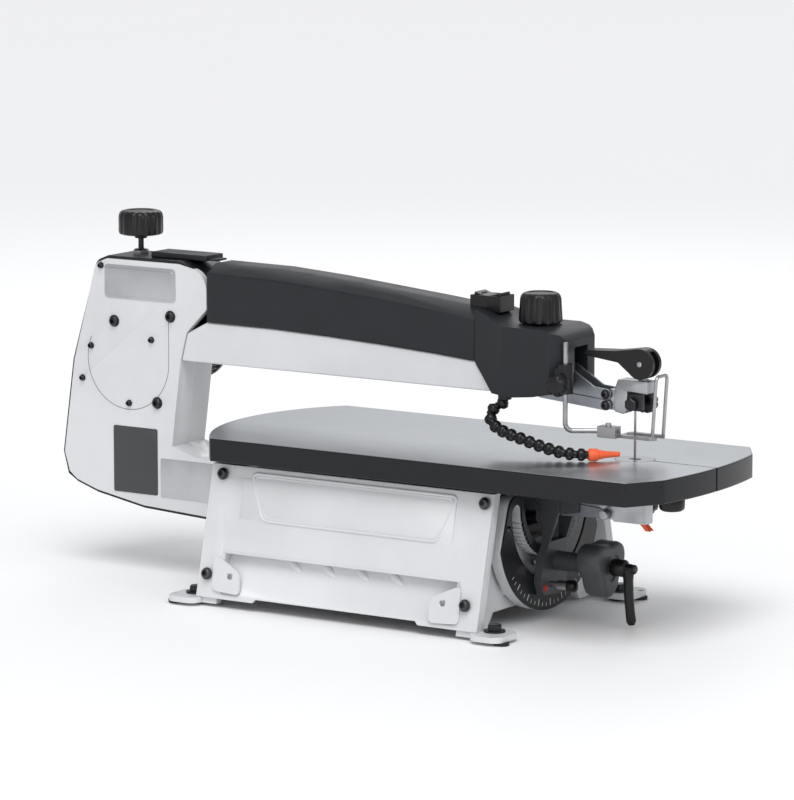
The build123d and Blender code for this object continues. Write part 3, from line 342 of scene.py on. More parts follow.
class Paint:
    """One material's node tree with its shader, read from Object coordinates."""

    def __init__(self, name):
        self.material = bpy.data.materials.new(f"finish_{name}")
        self.material.use_nodes = True
        self.tree = self.material.node_tree
        self.shader = self.tree.nodes["Principled BSDF"]
        self.place = self.node("ShaderNodeTexCoord", out="Object")
        self.normal = None

    def node(self, kind, settings=None, values=None, out=0):
        """Adds a node, its settings first, then each socket's value or link, and gives one output."""
        made = self.tree.nodes.new(kind)
        for key, value in (settings or {}).items():
            setattr(made, key, value)
        for key, value in (values or {}).items():
            if isinstance(value, Field):
                self.tree.links.new(value.socket, made.inputs[key])
            else:
                made.inputs[key].default_value = value
        return Field(self, made.outputs[out])

    def axis(self, name):
        """One of X, Y and Z of the object's own coordinates."""
        return self.node("ShaderNodeSeparateXYZ", None, {0: self.place}, out=name)

    def stretched(self, scale):
        """Coordinates multiplied by a vector, so that a pattern is drawn out along an axis."""
        return self.node("ShaderNodeVectorMath", {"operation": "MULTIPLY"}, {0: self.place, 1: scale})

    def noise(self, scale, detail=3.0, rough=0.55, place=None):
        values = {"Vector": place or self.place, "Scale": scale, "Detail": detail, "Roughness": rough}
        return self.node("ShaderNodeTexNoise", None, values)

    def facing_up(self):
        """1 on faces that look up, from the surface's own normal."""
        normal = self.node("ShaderNodeNewGeometry", out="Normal")
        return self.node("ShaderNodeSeparateXYZ", None, {0: normal}, out="Z")

    def mix(self, share, first, second):
        """Colour between two colours."""
        values = {0: share, 6: first, 7: second}
        return self.node("ShaderNodeMix", {"data_type": "RGBA"}, values, out=2)

    def bump(self, height, distance, strength=1.0):
        values = {"Height": height, "Distance": distance * MM, "Strength": strength}
        if self.normal is not None:
            values["Normal"] = self.normal
        self.normal = self.node("ShaderNodeBump", None, values)

    def round_edges(self, radius):
        """Blends the normal across sharp edges within a radius, in millimetres."""
        values = {"Radius": radius * MM}
        self.normal = self.node("ShaderNodeBevel", {"samples": 4}, values)

    def done(self, **sockets):
        """Feeds the shader; names with _ for a space."""
        if self.normal is not None:
            sockets["Normal"] = self.normal
        for key, value in sockets.items():
            socket = self.shader.inputs[key.replace("_", " ")]
            if isinstance(value, Field):
                self.tree.links.new(value.socket, socket)
            else:
                socket.default_value = value
        return self.material


def rgb(colour):
    return (*colour, 1.0)


def darker(colour, share):
    return (*[c * share for c in colour], 1.0)


def enamel(name, colour, rough, peel=0.05, edge=0.8, coat=0.35, dust=0.0, shine=0.5):
    """Sprayed enamel: fine orange peel, cloudy tone, a duller film in patches and dust on flat tops."""
    paint = Paint(name)
    paint.round_edges(edge)
    paint.bump(paint.noise(650, 2), peel)
    cloud = paint.noise(9, 4)
    tone = paint.mix(cloud.between(0.35, 0.7), rgb(colour), darker(colour, 0.93))
    if dust:
        film = paint.facing_up().between(0.75, 0.98) * paint.noise(60, 4).between(0.5, 0.8) * dust
        tone = paint.mix(film, tone, (0.62, 0.55, 0.44, 1.0))
    gloss = paint.noise(35, 3) * 0.12 + (rough - 0.06)
    return paint.done(Base_Color=tone, Roughness=gloss, Coat_Weight=coat, Specular_IOR_Level=shine)


def moulded(name, colour, rough, grain=0.06, scale=1400, edge=0.6, rub=1.7, shine=0.35):
    """Injection-moulded plastic: pebbled skin, slightly paler where it is handled."""
    paint = Paint(name)
    paint.round_edges(edge)
    paint.bump(paint.noise(scale, 2, 0.6), grain)
    worn = paint.noise(22, 4).between(0.45, 0.75)
    tone = paint.mix(worn, rgb(colour), darker(colour, rub))
    gloss = worn * 0.10 + rough
    return paint.done(Base_Color=tone, Roughness=gloss, Specular_IOR_Level=shine)


def metal(name, colour, rough, stretch=(1, 1, 1), scale=400, depth=0.02, stain=0.75, edge=0.5):
    """Bare metal: brush or grinding lines drawn out along one axis, faint stains and duller patches."""
    paint = Paint(name)
    paint.round_edges(edge)
    lines = paint.noise(scale, 3, 0.6, paint.stretched(stretch))
    paint.bump(lines, depth)
    patch = paint.noise(28, 4).between(0.4, 0.75)
    tone = paint.mix(patch, rgb(colour), darker(colour, stain))
    gloss = lines * 0.16 + patch * 0.08 + (rough - 0.08)
    return paint.done(Base_Color=tone, Roughness=gloss, Metallic=1.0)


def table_finish():
    """Brushed table face with ground lines along the saw and round-edged black skirt below the face."""
    look = bpy.context.scene.saw_colours
    paint = Paint("table_metal")
    paint.round_edges(1.4)
    face = paint.facing_up().between(0.55, 0.8) * paint.axis("Z").between(TABLE_Z - 0.0012, TABLE_Z - 0.0006)
    lines = paint.noise(260, 4, 0.65, paint.stretched((0.06, 3.0, 1.0)))
    fine = paint.noise(900, 2, 0.5, paint.stretched((0.05, 2.0, 1.0)))
    paint.bump(lines * face + paint.noise(650, 2) * (1 - face) * 2.0, 0.012)
    smear = paint.noise(7, 3).between(0.35, 0.7)
    bright = paint.mix(smear, rgb(look.table), darker(look.table, 0.86))
    bright = paint.mix(fine.between(0.4, 0.7) * 0.35, bright, darker(look.table, 0.7))
    tone = paint.mix(face, darker(look.black, 1.0), bright)
    gloss = face * (smear * 0.06 + lines * 0.10 - 0.02) + 0.27
    return paint.done(Base_Color=tone, Roughness=gloss, Metallic=face, Specular_IOR_Level=0.3)


def white_enamel():
    return enamel("white_enamel", bpy.context.scene.saw_colours.white, 0.38, dust=0.12)


def black_enamel():
    colour = bpy.context.scene.saw_colours.black
    return enamel("black_enamel", colour, 0.40, coat=0.1, dust=0.05, shine=0.3)


def charcoal_shell():
    return moulded("charcoal_shell", bpy.context.scene.saw_colours.charcoal, 0.42, rub=1.25)


def black_knob():
    return moulded("black_knob", bpy.context.scene.saw_colours.knob, 0.30, grain=0.03, rub=1.5)


def insert_metal():
    return metal("insert_metal", (0.46, 0.47, 0.49), 0.30, scale=500)


def plain_steel():
    return metal("plain_steel", (0.40, 0.40, 0.41), 0.30, (1, 1, 0.3), 600)


def zinc_steel():
    return metal("zinc_steel", (0.34, 0.36, 0.39), 0.42, (0.2, 2, 1), 300, 0.04, 0.68)


def cast_grey():
    return enamel("cast_grey", bpy.context.scene.saw_colours.grey, 0.5, peel=0.14, coat=0.1)


def black_screw():
    return metal("black_screw", (0.055, 0.055, 0.06), 0.36, scale=700, edge=0.3)


def plated_screw():
    return metal("plated_screw", (0.09, 0.09, 0.095), 0.34, scale=700, edge=0.3)


def pad_rubber():
    return moulded("pad_rubber", (0.018, 0.018, 0.018), 0.75, grain=0.15, rub=1.8)


def hose_black():
    return moulded("hose_black", bpy.context.scene.saw_colours.hose, 0.26, grain=0.02, rub=1.4)


def nozzle_orange():
    return moulded("nozzle_orange", bpy.context.scene.saw_colours.orange, 0.30, grain=0.02, rub=0.85)


def blank_plate():
    return metal("blank_plate", (0.52, 0.53, 0.55), 0.36, (0.1, 1, 2), 350, 0.01, 0.9, 0.3)


def label_film():
    """Dark label film with a satin face."""
    return moulded("label_film", (0.05, 0.052, 0.056), 0.35, grain=0.01, rub=1.2)


def red_button():
    return moulded("red_button", (0.35, 0.02, 0.015), 0.30, grain=0.02, rub=0.85)


def seam_shade():
    """Dull dark of a gap between two castings."""
    return enamel("seam_shade", (0.20, 0.20, 0.21), 0.7, coat=0.0)


BUILDERS = {
    maker.__name__: maker
    for maker in (
        white_enamel, black_enamel, charcoal_shell, black_knob, insert_metal, plain_steel, zinc_steel,
        cast_grey, black_screw, plated_screw, pad_rubber, hose_black, nozzle_orange, blank_plate,
        label_film, red_button, seam_shade,
    )
}
BUILDERS["table_metal"] = table_finish
SLOT_OF = {part["node"]: part["material_slot"] for part in frame["record"]["subparts"]}


def once(slot):
    """Maker of a material that is built the first time and found by name after that."""
    return lambda: bpy.data.materials.get(f"finish_{slot}") or BUILDERS[slot]()


FINISHES = {slot: once(slot) for slot in BUILDERS}


# ---- sizes and colours ------------------------------------------------------------------
def colour(name, text, value):
    return FloatVectorProperty(
        name=name, description=text, default=value, size=3, subtype="COLOR", min=0, max=1
    )


def measure(name, text, value, low, high):
    return FloatProperty(name=name, description=text, default=value, min=low, max=high)


class SawColours(bpy.types.PropertyGroup):
    """Colours of the saw's finishes."""

    white: colour("White enamel", "Base, column covers and arm", (0.66, 0.67, 0.685))
    black: colour("Black enamel", "Frame core and table skirt", (0.008, 0.0085, 0.010))
    charcoal: colour("Charcoal", "Arm cover and head housing", (0.012, 0.013, 0.016))
    knob: colour("Knob black", "Knobs, levers and switch", (0.006, 0.006, 0.007))
    grey: colour("Casting grey", "Lower arm and tilt bracket", (0.050, 0.054, 0.060))
    table: colour("Table metal", "Brushed table face", (0.56, 0.58, 0.605))
    hose: colour("Hose black", "Ball segments of the air hose", (0.004, 0.004, 0.005))
    orange: colour("Nozzle orange", "Air nozzle and release tab", (0.86, 0.13, 0.045))


class SawSizes(bpy.types.PropertyGroup):
    """Sizes, in millimetres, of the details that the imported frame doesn't fix."""

    bead: measure("Hose bead", "Diameter of a hose segment", 13.0, 8, 16)
    flutes: IntProperty(
        name="Knob flutes", description="Flutes round the speed knob", default=14, min=6, max=40
    )
    pitch: measure("Tooth pitch", "Spacing of the blade's teeth", 2.1, 0.8, 4)
    seam: measure("Seam", "Width of the line round a column cover", 0.7, 0.2, 2)
    edge: measure("Soft edge", "Round on the edges of castings", 1.0, 0.2, 3)
    shadow: FloatProperty(
        name="Lamp size", description="Width of the key light", default=2.6, min=0.2, max=6, unit="LENGTH"
    )


def sizes():
    return bpy.context.scene.saw_sizes


# ---- pieces -----------------------------------------------------------------------------
SOFT_EDGES = {
    "left_side_panel": 1.4, "right_side_panel": 1.4, "base_front_casting": 1.2, "base_rear_casting": 1.2,
    "left_column_cover": 2.0, "right_column_cover": 2.0, "frame_core": 1.2, "upper_arm_casting": 1.6,
    "upper_arm_cover": 2.0, "head_housing": 2.4, "lower_arm_casting": 1.2, "tilt_bracket": 1.4,
    "tilt_quadrant": 0.8, "tilt_scale_plate": 0.5, "lower_clamp_body": 0.9,
    "cam_lever": 1.6, "arm_latch": 1.2, "switch_housing": 0.4, "upper_top_link": 0.4,
    "upper_bottom_link": 0.4, "lower_top_link": 0.4, "lower_bottom_link": 0.4, "hold_down_guide": 0.8,
    "hold_down_foot": 0.4, "table_top": 1.3, "table_seats": 1.2,
}


class SAW_OT_finishes(bpy.types.Operator):
    """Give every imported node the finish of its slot."""

    bl_idname = "saw.finishes"
    bl_label = "Finishes"

    def execute(self, context):
        for node, made in frame["nodes"].items():
            finish = FINISHES[SLOT_OF[node]]()
            if not made.material_slots:
                made.data.materials.append(finish)
            for place in made.material_slots:
                place.material = finish
        return {"FINISHED"}


def widen_core(made):
    """Widens the core's rim where it stands outside the column covers: |Y| grows by a quarter there."""
    mesh = made.data
    spots = np.empty(len(mesh.vertices) * 3)
    mesh.vertices.foreach_get("co", spots)
    spots = (spots.reshape(-1, 3) - BLADE_LINE) / MM
    low, high = span("left_column_cover")
    rim = (np.abs(spots[:, 1]) > 21) & (
        (spots[:, 0] < low[0] + 60) | (spots[:, 2] > high[2] - 5) | (spots[:, 2] < low[2] + 32)
    )
    spots[rim, 1] *= 1.27
    mesh.vertices.foreach_set("co", at(spots).ravel())
    mesh.update()


class SAW_OT_castings(bpy.types.Operator):
    """Round the edges of the castings, covers, links and clamps."""

    bl_idname = "saw.castings"
    bl_label = "Castings and covers"

    def execute(self, context):
        for node, width in SOFT_EDGES.items():
            made = softened(node, width * sizes().edge)
            if node == "frame_core":
                widen_core(made)
        return {"FINISHED"}


def knob(name, profile, origin, axis, shape, body, nodes, finish="black_knob", sides=112):
    """Turned knob: a lathe profile whose radius carries flutes or lobes."""
    return piece(name, [lathe(profile, origin, axis, sides, shape)], finish, body, nodes)


class SAW_OT_knobs(bpy.types.Operator):
    """Turn the speed, tension, tilt, table, hold-down and blade knobs."""

    bl_idname = "saw.knobs"
    bl_label = "Knobs"

    def execute(self, context):
        low, high = span("speed_knob")
        x, radius, top = (low[0] + high[0]) / 2, (high[0] - low[0]) / 2, high[2]
        speed = [
            (low[2], 4), (top - 31.2, 4), (top - 30.9, radius - 2), (top - 29.8, radius - 0.5),
            (top - 28.2, radius), (top - 6.5, radius - 1.4), (top - 3.4, radius - 2.2),
            (top - 1.2, radius - 4), (top, radius - 6.5), (top, radius - 9), (top - 0.8, radius - 9.6),
            (top - 0.8, 2),
        ]
        flutes = fluted(sizes().flutes, 0.055, 0.34, 0.56)
        knob("speed_knob_fluted", speed, (x, 0, 0), UP, flutes, "speed_knob", ("speed_knob",))
        low, high = span("tension_knob")
        x, radius, top = (low[0] + high[0]) / 2, (high[0] - low[0]) / 2, high[2]
        tension = [
            (low[2], 3), (top - 30.5, 3), (top - 30, 6.5), (top - 26.2, 7.5), (top - 26, radius - 3),
            (top - 25, radius - 0.8), (top - 23, radius), (top - 7, radius), (top - 3.4, radius - 0.8),
            (top - 1, radius - 2.8), (top, radius - 6), (top, radius - 10), (top - 0.7, radius - 10.6),
            (top - 0.7, 2),
        ]
        ribs = fluted(sizes().flutes + 2, 0.05, 0.44, 0.62)
        knob("tension_knob_fluted", tension, (x, 0, 0), UP, ribs, "tension_knob", ("tension_knob",))
        floor = span("frame_core")[1][2]
        collar = [(floor - 1, 8), (floor + 4.4, 8), (floor + 5.6, 7), (floor + 6.4, 4)]
        piece("tension_collar", [lathe(collar, (x, 0, 0), UP, 48, hexagon)], "plain_steel", "saw_frame")
        low, high = span("tilt_knob")
        back, face, drop = low[0], high[0], high[2] - 23
        lobes = [
            (back, 9), (back + 0.2, 24), (back + 1.2, 26.4), (back + 3.4, 27.4), (face - 5, 27.4),
            (face - 2, 26.2), (face - 0.4, 23.6), (face, 21), (face, 13), (face - 1.4, 12), (face - 1.4, 4),
        ]
        crest = lobed(3, 0.19, -math.pi / 2)
        knob("tilt_knob_lobed", lobes, (0, 0, drop), ALONG, crest, "tilt_knob", ("tilt_knob",), "cast_grey")
        low, high = span("table_edge_knob")
        middle = ((low[0] + high[0]) / 2, (low[1] + high[1]) / 2, 0)
        foot = low[2]
        button = [
            (foot, 7), (foot + 0.3, 10), (foot + 1.6, 12), (foot + 4, 13), (foot + 12, 13),
            (foot + 13.6, 12.2), (foot + 13.9, 3), (high[2], 3),
        ]
        knob("table_edge_knob_round", button, middle, UP, None, "edge_knob", ("table_edge_knob",), sides=48)
        low, high = span("hold_down_knob")
        middle = ((low[0] + high[0]) / 2, high[1], (low[2] + high[2]) / 2)
        radius = (high[0] - low[0]) / 2
        star = [
            (0, 2.5), (6, 2.5), (6.3, radius - 2.4), (7.4, radius - 0.3), (9, radius), (15.5, radius),
            (18.5, radius - 1.4), (20, radius - 4), (20, 3),
        ]
        flutes = fluted(7, 0.14, 0.3, 0.8)
        knob(
            "hold_down_knob_fluted", star, middle, (0, -1, 0), flutes, "hold_down_knob", ("hold_down_knob",)
        )
        for level in ("upper", "lower"):
            node = f"{level}_blade_knob"
            low, high = span(node)
            middle = ((low[0] + high[0]) / 2, 0, (low[2] + high[2]) / 2)
            near, far, radius = low[1], high[1], (high[0] - low[0]) / 2
            thumb = [
                (near, 2.5), (far - 15, 2.5), (far - 14.7, radius - 2.4), (far - 13.6, radius - 0.4),
                (far - 12, radius), (far - 4, radius), (far - 1.4, radius - 1.2), (far - 0.2, radius - 3),
                (far, radius - 5), (far, 2),
            ]
            flutes = fluted(8, 0.12, 0.25, 0.75)
            knob(f"{node}_fluted", thumb, middle, ACROSS, flutes, node, (node,))
        return {"FINISHED"}


class SAW_OT_lock_lever(bpy.types.Operator):
    """Cast the lock lever: a hub with a short stub and a tapered arm."""

    bl_idname = "saw.lock_lever"
    bl_label = "Lock lever"

    def execute(self, context):
        low, high = span("lock_lever")
        drop = high[2] - 9
        hub = [
            (low[0], 6.5), (low[0] + 0.6, 8.4), (low[0] + 2, 9), (low[0] + 13, 9), (low[0] + 15, 8.2),
            (low[0] + 16.5, 5.6), (high[0] - 1, 4.8), (high[0], 3.6),
        ]
        share = np.linspace(0, 1, 16)
        end = np.array([high[0] - 4.5, 0, low[2] + 0.4])
        start = np.array([high[0] - 9, 0, drop])
        arm = start + (end - start) * share[:, None] + np.outer(np.sin(share * math.pi), (-1.2, 0, 0))
        width = np.interp(share, [0, 0.2, 0.75, 0.93, 1], [6.6, 5.2, 4.9, 5.2, 3.2])
        shells = [lathe(hub, (0, 0, drop), ALONG, 48), tube(arm, width, 20, ACROSS)]
        piece("lock_lever_arm", shells, "black_knob", "lock_lever", ("lock_lever",))
        return {"FINISHED"}


def socket_head(spot, axis, radius, height):
    """Button head: the profile climbs the head, crosses its top and drops into a six-sided socket."""
    profile = [
        (-0.6, radius * 1.18), (0.5, radius * 1.18), (0.7, radius), (height * 0.6, radius * 0.98),
        (height * 0.88, radius * 0.84), (height, radius * 0.66), (height, radius * 0.44),
        (height * 0.35, radius * 0.44), (height * 0.35, radius * 0.1),
    ]

    def socket(turn, share):
        return np.where(share > 0.7, hexagon(turn, share), 1.0)

    return lathe(profile, spot, axis, 48, socket)


def hex_head(spot, radius, height):
    """Six-sided bolt head on its washer, with a chamfered top."""
    washer = lathe([(0, radius), (0.2, radius + 3), (1.8, radius + 3), (2, radius)], spot, UP, 40)
    head = [(2, radius * 0.84), (height - 0.9, radius * 0.84), (height, radius * 0.7), (height, 1)]
    return [washer, lathe(head, spot, UP, 48, hexagon)]


class SAW_OT_screws(bpy.types.Operator):
    """Set the socket screws of base and column and the bolts of the feet."""

    bl_idname = "saw.screws"
    bl_label = "Screws and bolts"

    def execute(self, context):
        base, column, feet = [], [], []
        for low, high in islands("base_screws"):
            middle, radius = (low + high) / 2, (high[2] - low[2]) / 2
            if high[0] - low[0] < 5:
                base.append(socket_head((low[0], middle[1], middle[2]), ALONG, radius * 0.86, 2.8))
                continue
            hand = math.copysign(1, middle[1])
            outer = max(abs(low[1]), abs(high[1]))
            seat = (middle[0], hand * (outer - 4.2), middle[2])
            axis = (0, hand * math.cos(PANEL_LEAN), math.sin(PANEL_LEAN))
            base.append(socket_head(seat, axis, radius * 0.9, 4.4))
        for low, high in islands("column_screws"):
            middle, radius = (low + high) / 2, (high[2] - low[2]) / 2
            hand = math.copysign(1, middle[1])
            outer = max(abs(low[1]), abs(high[1]))
            seat = (middle[0], hand * (outer - 4), middle[2])
            column.append(socket_head(seat, (0, hand, 0), radius * 0.85, 4))
        for low, high in islands("foot_bolts"):
            middle = (low + high) / 2
            feet += hex_head((middle[0], middle[1], high[2] - 8), 8, 8)
        piece("base_socket_screws", base, "plated_screw", "base", ("base_screws",))
        piece("column_socket_screws", column, "black_screw", "saw_frame", ("column_screws",))
        piece("foot_hex_bolts", feet, "black_screw", "base", ("foot_bolts",))
        return {"FINISHED"}


HOSE_ROUTE = (
    (-136, -30, 53.2), (-136, -30, 50), (-146, -33, 45), (-150, -37, 36.5), (-143, -42, 28.5),
    (-131, -46, 24), (-118, -49, 21), (-105, -50, 18.5), (-92, -51, 15.5), (-79, -51, 12.5),
    (-66, -51, 10), (-53, -50, 8), (-41, -46, 7.3), (-31, -40, 7),
)
NOZZLE_TIP = (-9, -13, 6)


def smooth_route(points):
    """Points, in mm, along the quadratic NURBS spline that has the route as its control points."""
    data = bpy.data.curves.new("route", "CURVE")
    data.dimensions = "3D"
    spline = data.splines.new("NURBS")
    spline.points.add(len(points) - 1)
    spline.points.foreach_set("co", np.column_stack([points, np.ones(len(points))]).ravel())
    spline.order_u = 3
    spline.use_endpoint_u = True
    spline.resolution_u = 12
    holder = bpy.data.objects.new("route", data)
    line = bpy.data.meshes.new_from_object(holder)
    spots = np.empty(len(line.vertices) * 3)
    line.vertices.foreach_get("co", spots)
    bpy.data.objects.remove(holder)
    bpy.data.curves.remove(data)
    bpy.data.meshes.remove(line)
    return spots.reshape(-1, 3)


class SAW_OT_hose(bpy.types.Operator):
    """String the ball segments of the air hose along its route and end it in its nozzle."""

    bl_idname = "saw.hose"
    bl_label = "Air hose"

    def execute(self, context):
        path = smooth_route(HOSE_ROUTE)
        run = np.concatenate([[0], np.cumsum(np.linalg.norm(np.diff(path, axis=0), axis=1))])
        length = run[-1]
        radius = sizes().bead / 2
        count = round(length / (radius * 1.86))
        stations = (np.arange(count) + 0.5) * length / count
        spots = np.stack([np.interp(stations, run, path[:, k]) for k in range(3)], axis=1)
        ahead = np.stack([np.interp(stations + 1.5, run, path[:, k]) for k in range(3)], axis=1)
        back = np.stack([np.interp(stations - 1.5, run, path[:, k]) for k in range(3)], axis=1)
        step = length / count
        segment = [
            (-0.50 * step, radius * 0.60), (-0.42 * step, radius * 0.66), (-0.36 * step, radius * 0.90),
            (-0.28 * step, radius * 0.985), (-0.14 * step, radius), (0.0, radius * 0.985),
            (0.12 * step, radius * 0.90), (0.20 * step, radius * 0.74), (0.26 * step, radius * 0.62),
            (0.50 * step, radius * 0.60),
        ]
        core = tube(path, radius * 0.58, 16)
        beads = [lathe(segment, spot, way, 28) for spot, way in zip(spots, ahead - back)]
        hose = piece("air_hose_beads", [core] + beads, "hose_black", "air_hose", ("air_hose",), crease=50)
        way = np.array(NOZZLE_TIP, float) - HOSE_ROUTE[-1]
        reach = np.linalg.norm(way)
        snout = [
            (-1, 4), (1.2, 6.2), (2.4, 6.5), (8.5, 6.4), (9.6, 5.8), (10, 5.0), (15, 4.5), (15.6, 3.9),
            (reach - 3, 2.6), (reach - 1.6, 2.4), (reach - 1.6, 1.3), (reach - 6, 1.2),
        ]
        nozzle = piece(
            "hose_nozzle_tip", [lathe(snout, HOSE_ROUTE[-1], way, 32)], "nozzle_orange", "air_hose",
            ("hose_nozzle",),
        )
        return {"FINISHED"}


class SAW_OT_blade(bpy.types.Operator):
    """Cut the blade: a strip whose front edge steps back along each tooth."""

    bl_idname = "saw.blade"
    bl_label = "Blade"

    def execute(self, context):
        low, high = span("saw_blade")
        pitch = sizes().pitch
        tooth = np.arange(low[2], high[2] - pitch, pitch)
        height = np.stack([tooth, tooth + 0.62 * pitch, tooth + 0.98 * pitch], axis=1).ravel()
        front = np.tile([high[0], high[0] - 0.9, high[0] - 0.9], len(tooth))
        back = np.full(len(height), low[0])
        thick = np.full(len(height), (high[1] - low[1]) / 2)
        rows = np.stack(
            [
                np.stack([back, -thick, height], axis=1), np.stack([front, -thick, height], axis=1),
                np.stack([front, thick, height], axis=1), np.stack([back, thick, height], axis=1),
            ],
            axis=1,
        )
        piece("saw_blade_teeth", [shell(rows)], "plain_steel", "upper_clamp", ("saw_blade",), crease=20)
        return {"FINISHED"}


class SAW_OT_clamp(bpy.types.Operator):
    """Mill the upper clamp: a head block and a pin block, open at the front where the jaw and knob sit."""

    bl_idname = "saw.clamp"
    bl_label = "Upper clamp"

    def execute(self, context):
        low, high = span("upper_clamp_body")
        lever_x = high[0] - 9
        foot, side = low[2], 8.6
        head = rounded(((-20, foot + 24), (high[0], foot + 22), (high[0], foot + 35), (-16, foot + 35)), 1.6)
        stem = rounded(((-20, foot + 2), (-9, foot), (-5, foot + 6), (-5, foot + 25), (-20, foot + 25)), 1.6)
        arm = rounded(((-29, foot + 3), (-18, foot + 3), (-18, foot + 24), (-29, foot + 24)), 4)
        shells = [
            plate(head, -side, side, 0.8, standing), plate(stem, -side, side, 0.8, standing),
            plate(arm, -6.8, 6.8, 0.6, standing),
            soft_block((lever_x - 4, -4, foot + 33), (lever_x + 4, 4, high[2] - 1), 0.8),
            lathe([(-10, 2), (-9.6, 2.8), (9.6, 2.8), (10, 2)], (lever_x, 0, high[2] - 3), ACROSS, 32),
        ]
        piece("upper_clamp_blocks", shells, "insert_metal", "upper_clamp", ("upper_clamp_body",))
        jaw = [
            soft_block((-5.2, -8, foot + 4), (10.5, 0.6, foot + 22.2), 1.4),
            lathe([(0, 4), (0.2, 6), (5, 6), (6, 5), (6, 1)], (1, -8, foot + 11), (0, -1, 0), 40, hexagon),
        ]
        piece("upper_clamp_jaw", jaw, "black_screw", "upper_clamp")
        bolts = []
        for level in (foot + 7.6, foot + 18.9):
            for hand in (-1, 1):
                bolts.append(socket_head((-28.8, hand * 10.7, level), (0, hand, 0), 4.2, 4))
        piece("upper_clamp_bolts", bolts, "black_screw", "upper_clamp")
        return {"FINISHED"}


def panel_skin(v):
    """Half width of the base at a height: the rim's half width plus the drop times the lean."""
    return PANEL_RIM[0] - (v - PANEL_RIM[1]) * math.tan(PANEL_LEAN)


def on_panel(hand):
    """Place function for a plate on the leaning side panel: u along the saw, v its height, out from it."""

    def place(u, v, height):
        out = panel_skin(v) + height * math.cos(PANEL_LEAN)
        return np.stack([u, hand * out, v + height * math.sin(PANEL_LEAN)], axis=-1)

    return place


def eyelet(corners, round_off, centre, hole, thick, place):
    """Plate with a round hole: rows run hole back, hole front, outline front, outline back and close."""
    edge = rounded(corners, round_off, 9)
    turn = np.arctan2(edge[:, 1] - centre[1], edge[:, 0] - centre[0])
    edge = edge[np.argsort(turn)]
    turn = np.sort(turn)
    ring = np.asarray(centre) + hole * np.stack([np.cos(turn), np.sin(turn)], axis=1)
    lip = ring + 0.5 * (ring - centre) / hole
    rows = [(ring, 0), (ring, thick - 0.5), (lip, thick), (edge, thick), (edge, 0), (ring, 0)]
    points = [place(spots[:, 0], spots[:, 1], np.full(len(spots), float(rise))) for spots, rise in rows]
    return shell(np.array(points), caps=False)


class SAW_OT_trough(bpy.types.Operator):
    """Set the finger ribs and drilled end tabs of the carrying trough on both side panels."""

    bl_idname = "saw.trough"
    bl_label = "Carrying trough"

    def execute(self, context):
        for side, hand in (("left", -1), ("right", 1)):
            place = on_panel(hand)
            tabs = [
                eyelet(
                    ((-427, -120), (-392, -137), (-389, -160), (-424, -158)), 7, (-404, -142), 3.6, 2.4, place
                ),
                eyelet(
                    ((-160, -138), (-124, -122), (-121, -160), (-157, -162)), 7, (-143, -141), 3.6, 2.4, place
                ),
            ]
            piece(f"{side}_trough_tabs", tabs, "white_enamel", "base")
            share = np.linspace(-1, 1, 13)
            ribs = []
            for spot in np.linspace(-332, -208, 4):
                path = np.stack([spot + 10 * share, -127 - 7 * share, 0 * share], axis=1)
                line = np.stack([path[:, 0], hand * (panel_skin(path[:, 1]) - 12.5), path[:, 1]], axis=1)
                ribs.append(tube(line, 4.5 * np.sqrt(1.02 - share**2), 16, ACROSS))
            piece(f"{side}_trough_ribs", ribs, "white_enamel", "base")
            corners = rounded(((-393, -36), (-374, -82.4), (-159, -82.4), (-141, -36)), 8, 8)
            bead = place(corners[:, 0], corners[:, 1], np.full(len(corners), -0.2))
            inner = corners + (np.array((-267, -59)) - corners) * (0.028, 0.1)
            step = place(inner[:, 0], inner[:, 1], np.full(len(corners), -0.1))
            rings = [
                tube(np.concatenate([line, line[:1]]), size, 12, ACROSS)
                for line, size in ((bead, 1.9), (step, 1.1))
            ]
            piece(f"{side}_panel_bead", rings, "white_enamel", "base")
        return {"FINISHED"}


class SAW_OT_plates(bpy.types.Operator):
    """Fix the blank plates on the column cover."""

    bl_idname = "saw.plates"
    bl_label = "Blank plates"

    def execute(self, context):
        for low, high in islands("column_plates"):
            tall = high[2] - low[2] > 60
            upper = low[2] > 0
            name = "badge_plate" if upper else "notice_plate" if tall else "rating_plate"
            corners = ((low[0], low[2]), (high[0], low[2]), (high[0], high[2]), (low[0], high[2]))
            face, back = low[1], high[1]
            outline = rounded(corners, 5 if upper else 2.5)
            shells = [plate(outline, face + 0.3, back, 0.2, standing)]
            if upper:
                inner = rounded(np.array(corners) + ((3, 3), (-3, 3), (-3, -3), (3, -3)), 4)
                shells.append(plate(inner, face - 0.2, back, 0.4, standing))
            finish = "label_film" if tall else "blank_plate"
            piece(name, shells, finish, "saw_frame", ("column_plates",))
        return {"FINISHED"}


class SAW_OT_seams(bpy.types.Operator):
    """Run the line of the round inspection lid on the column cover."""

    bl_idname = "saw.seams"
    bl_label = "Cover seam"

    def execute(self, context):
        face = span("left_column_cover")[0][1]
        centre, radius = np.array([-610.0, 55.0]), 53.5
        drop = np.stack([np.full(12, centre[0] + radius), np.linspace(108, 57, 12)], axis=1)
        turn = np.radians(np.linspace(0, -205, 72))
        arc = centre + radius * np.stack([np.cos(turn), np.sin(turn)], axis=1)
        line = np.concatenate([drop, arc])
        path = np.stack([line[:, 0], np.full(len(line), face), line[:, 1]], axis=1)
        seam = piece(
            "inspection_seam", [tube(path, sizes().seam / 2, 8, ACROSS)], "seam_shade", "saw_frame"
        )
        return {"FINISHED"}


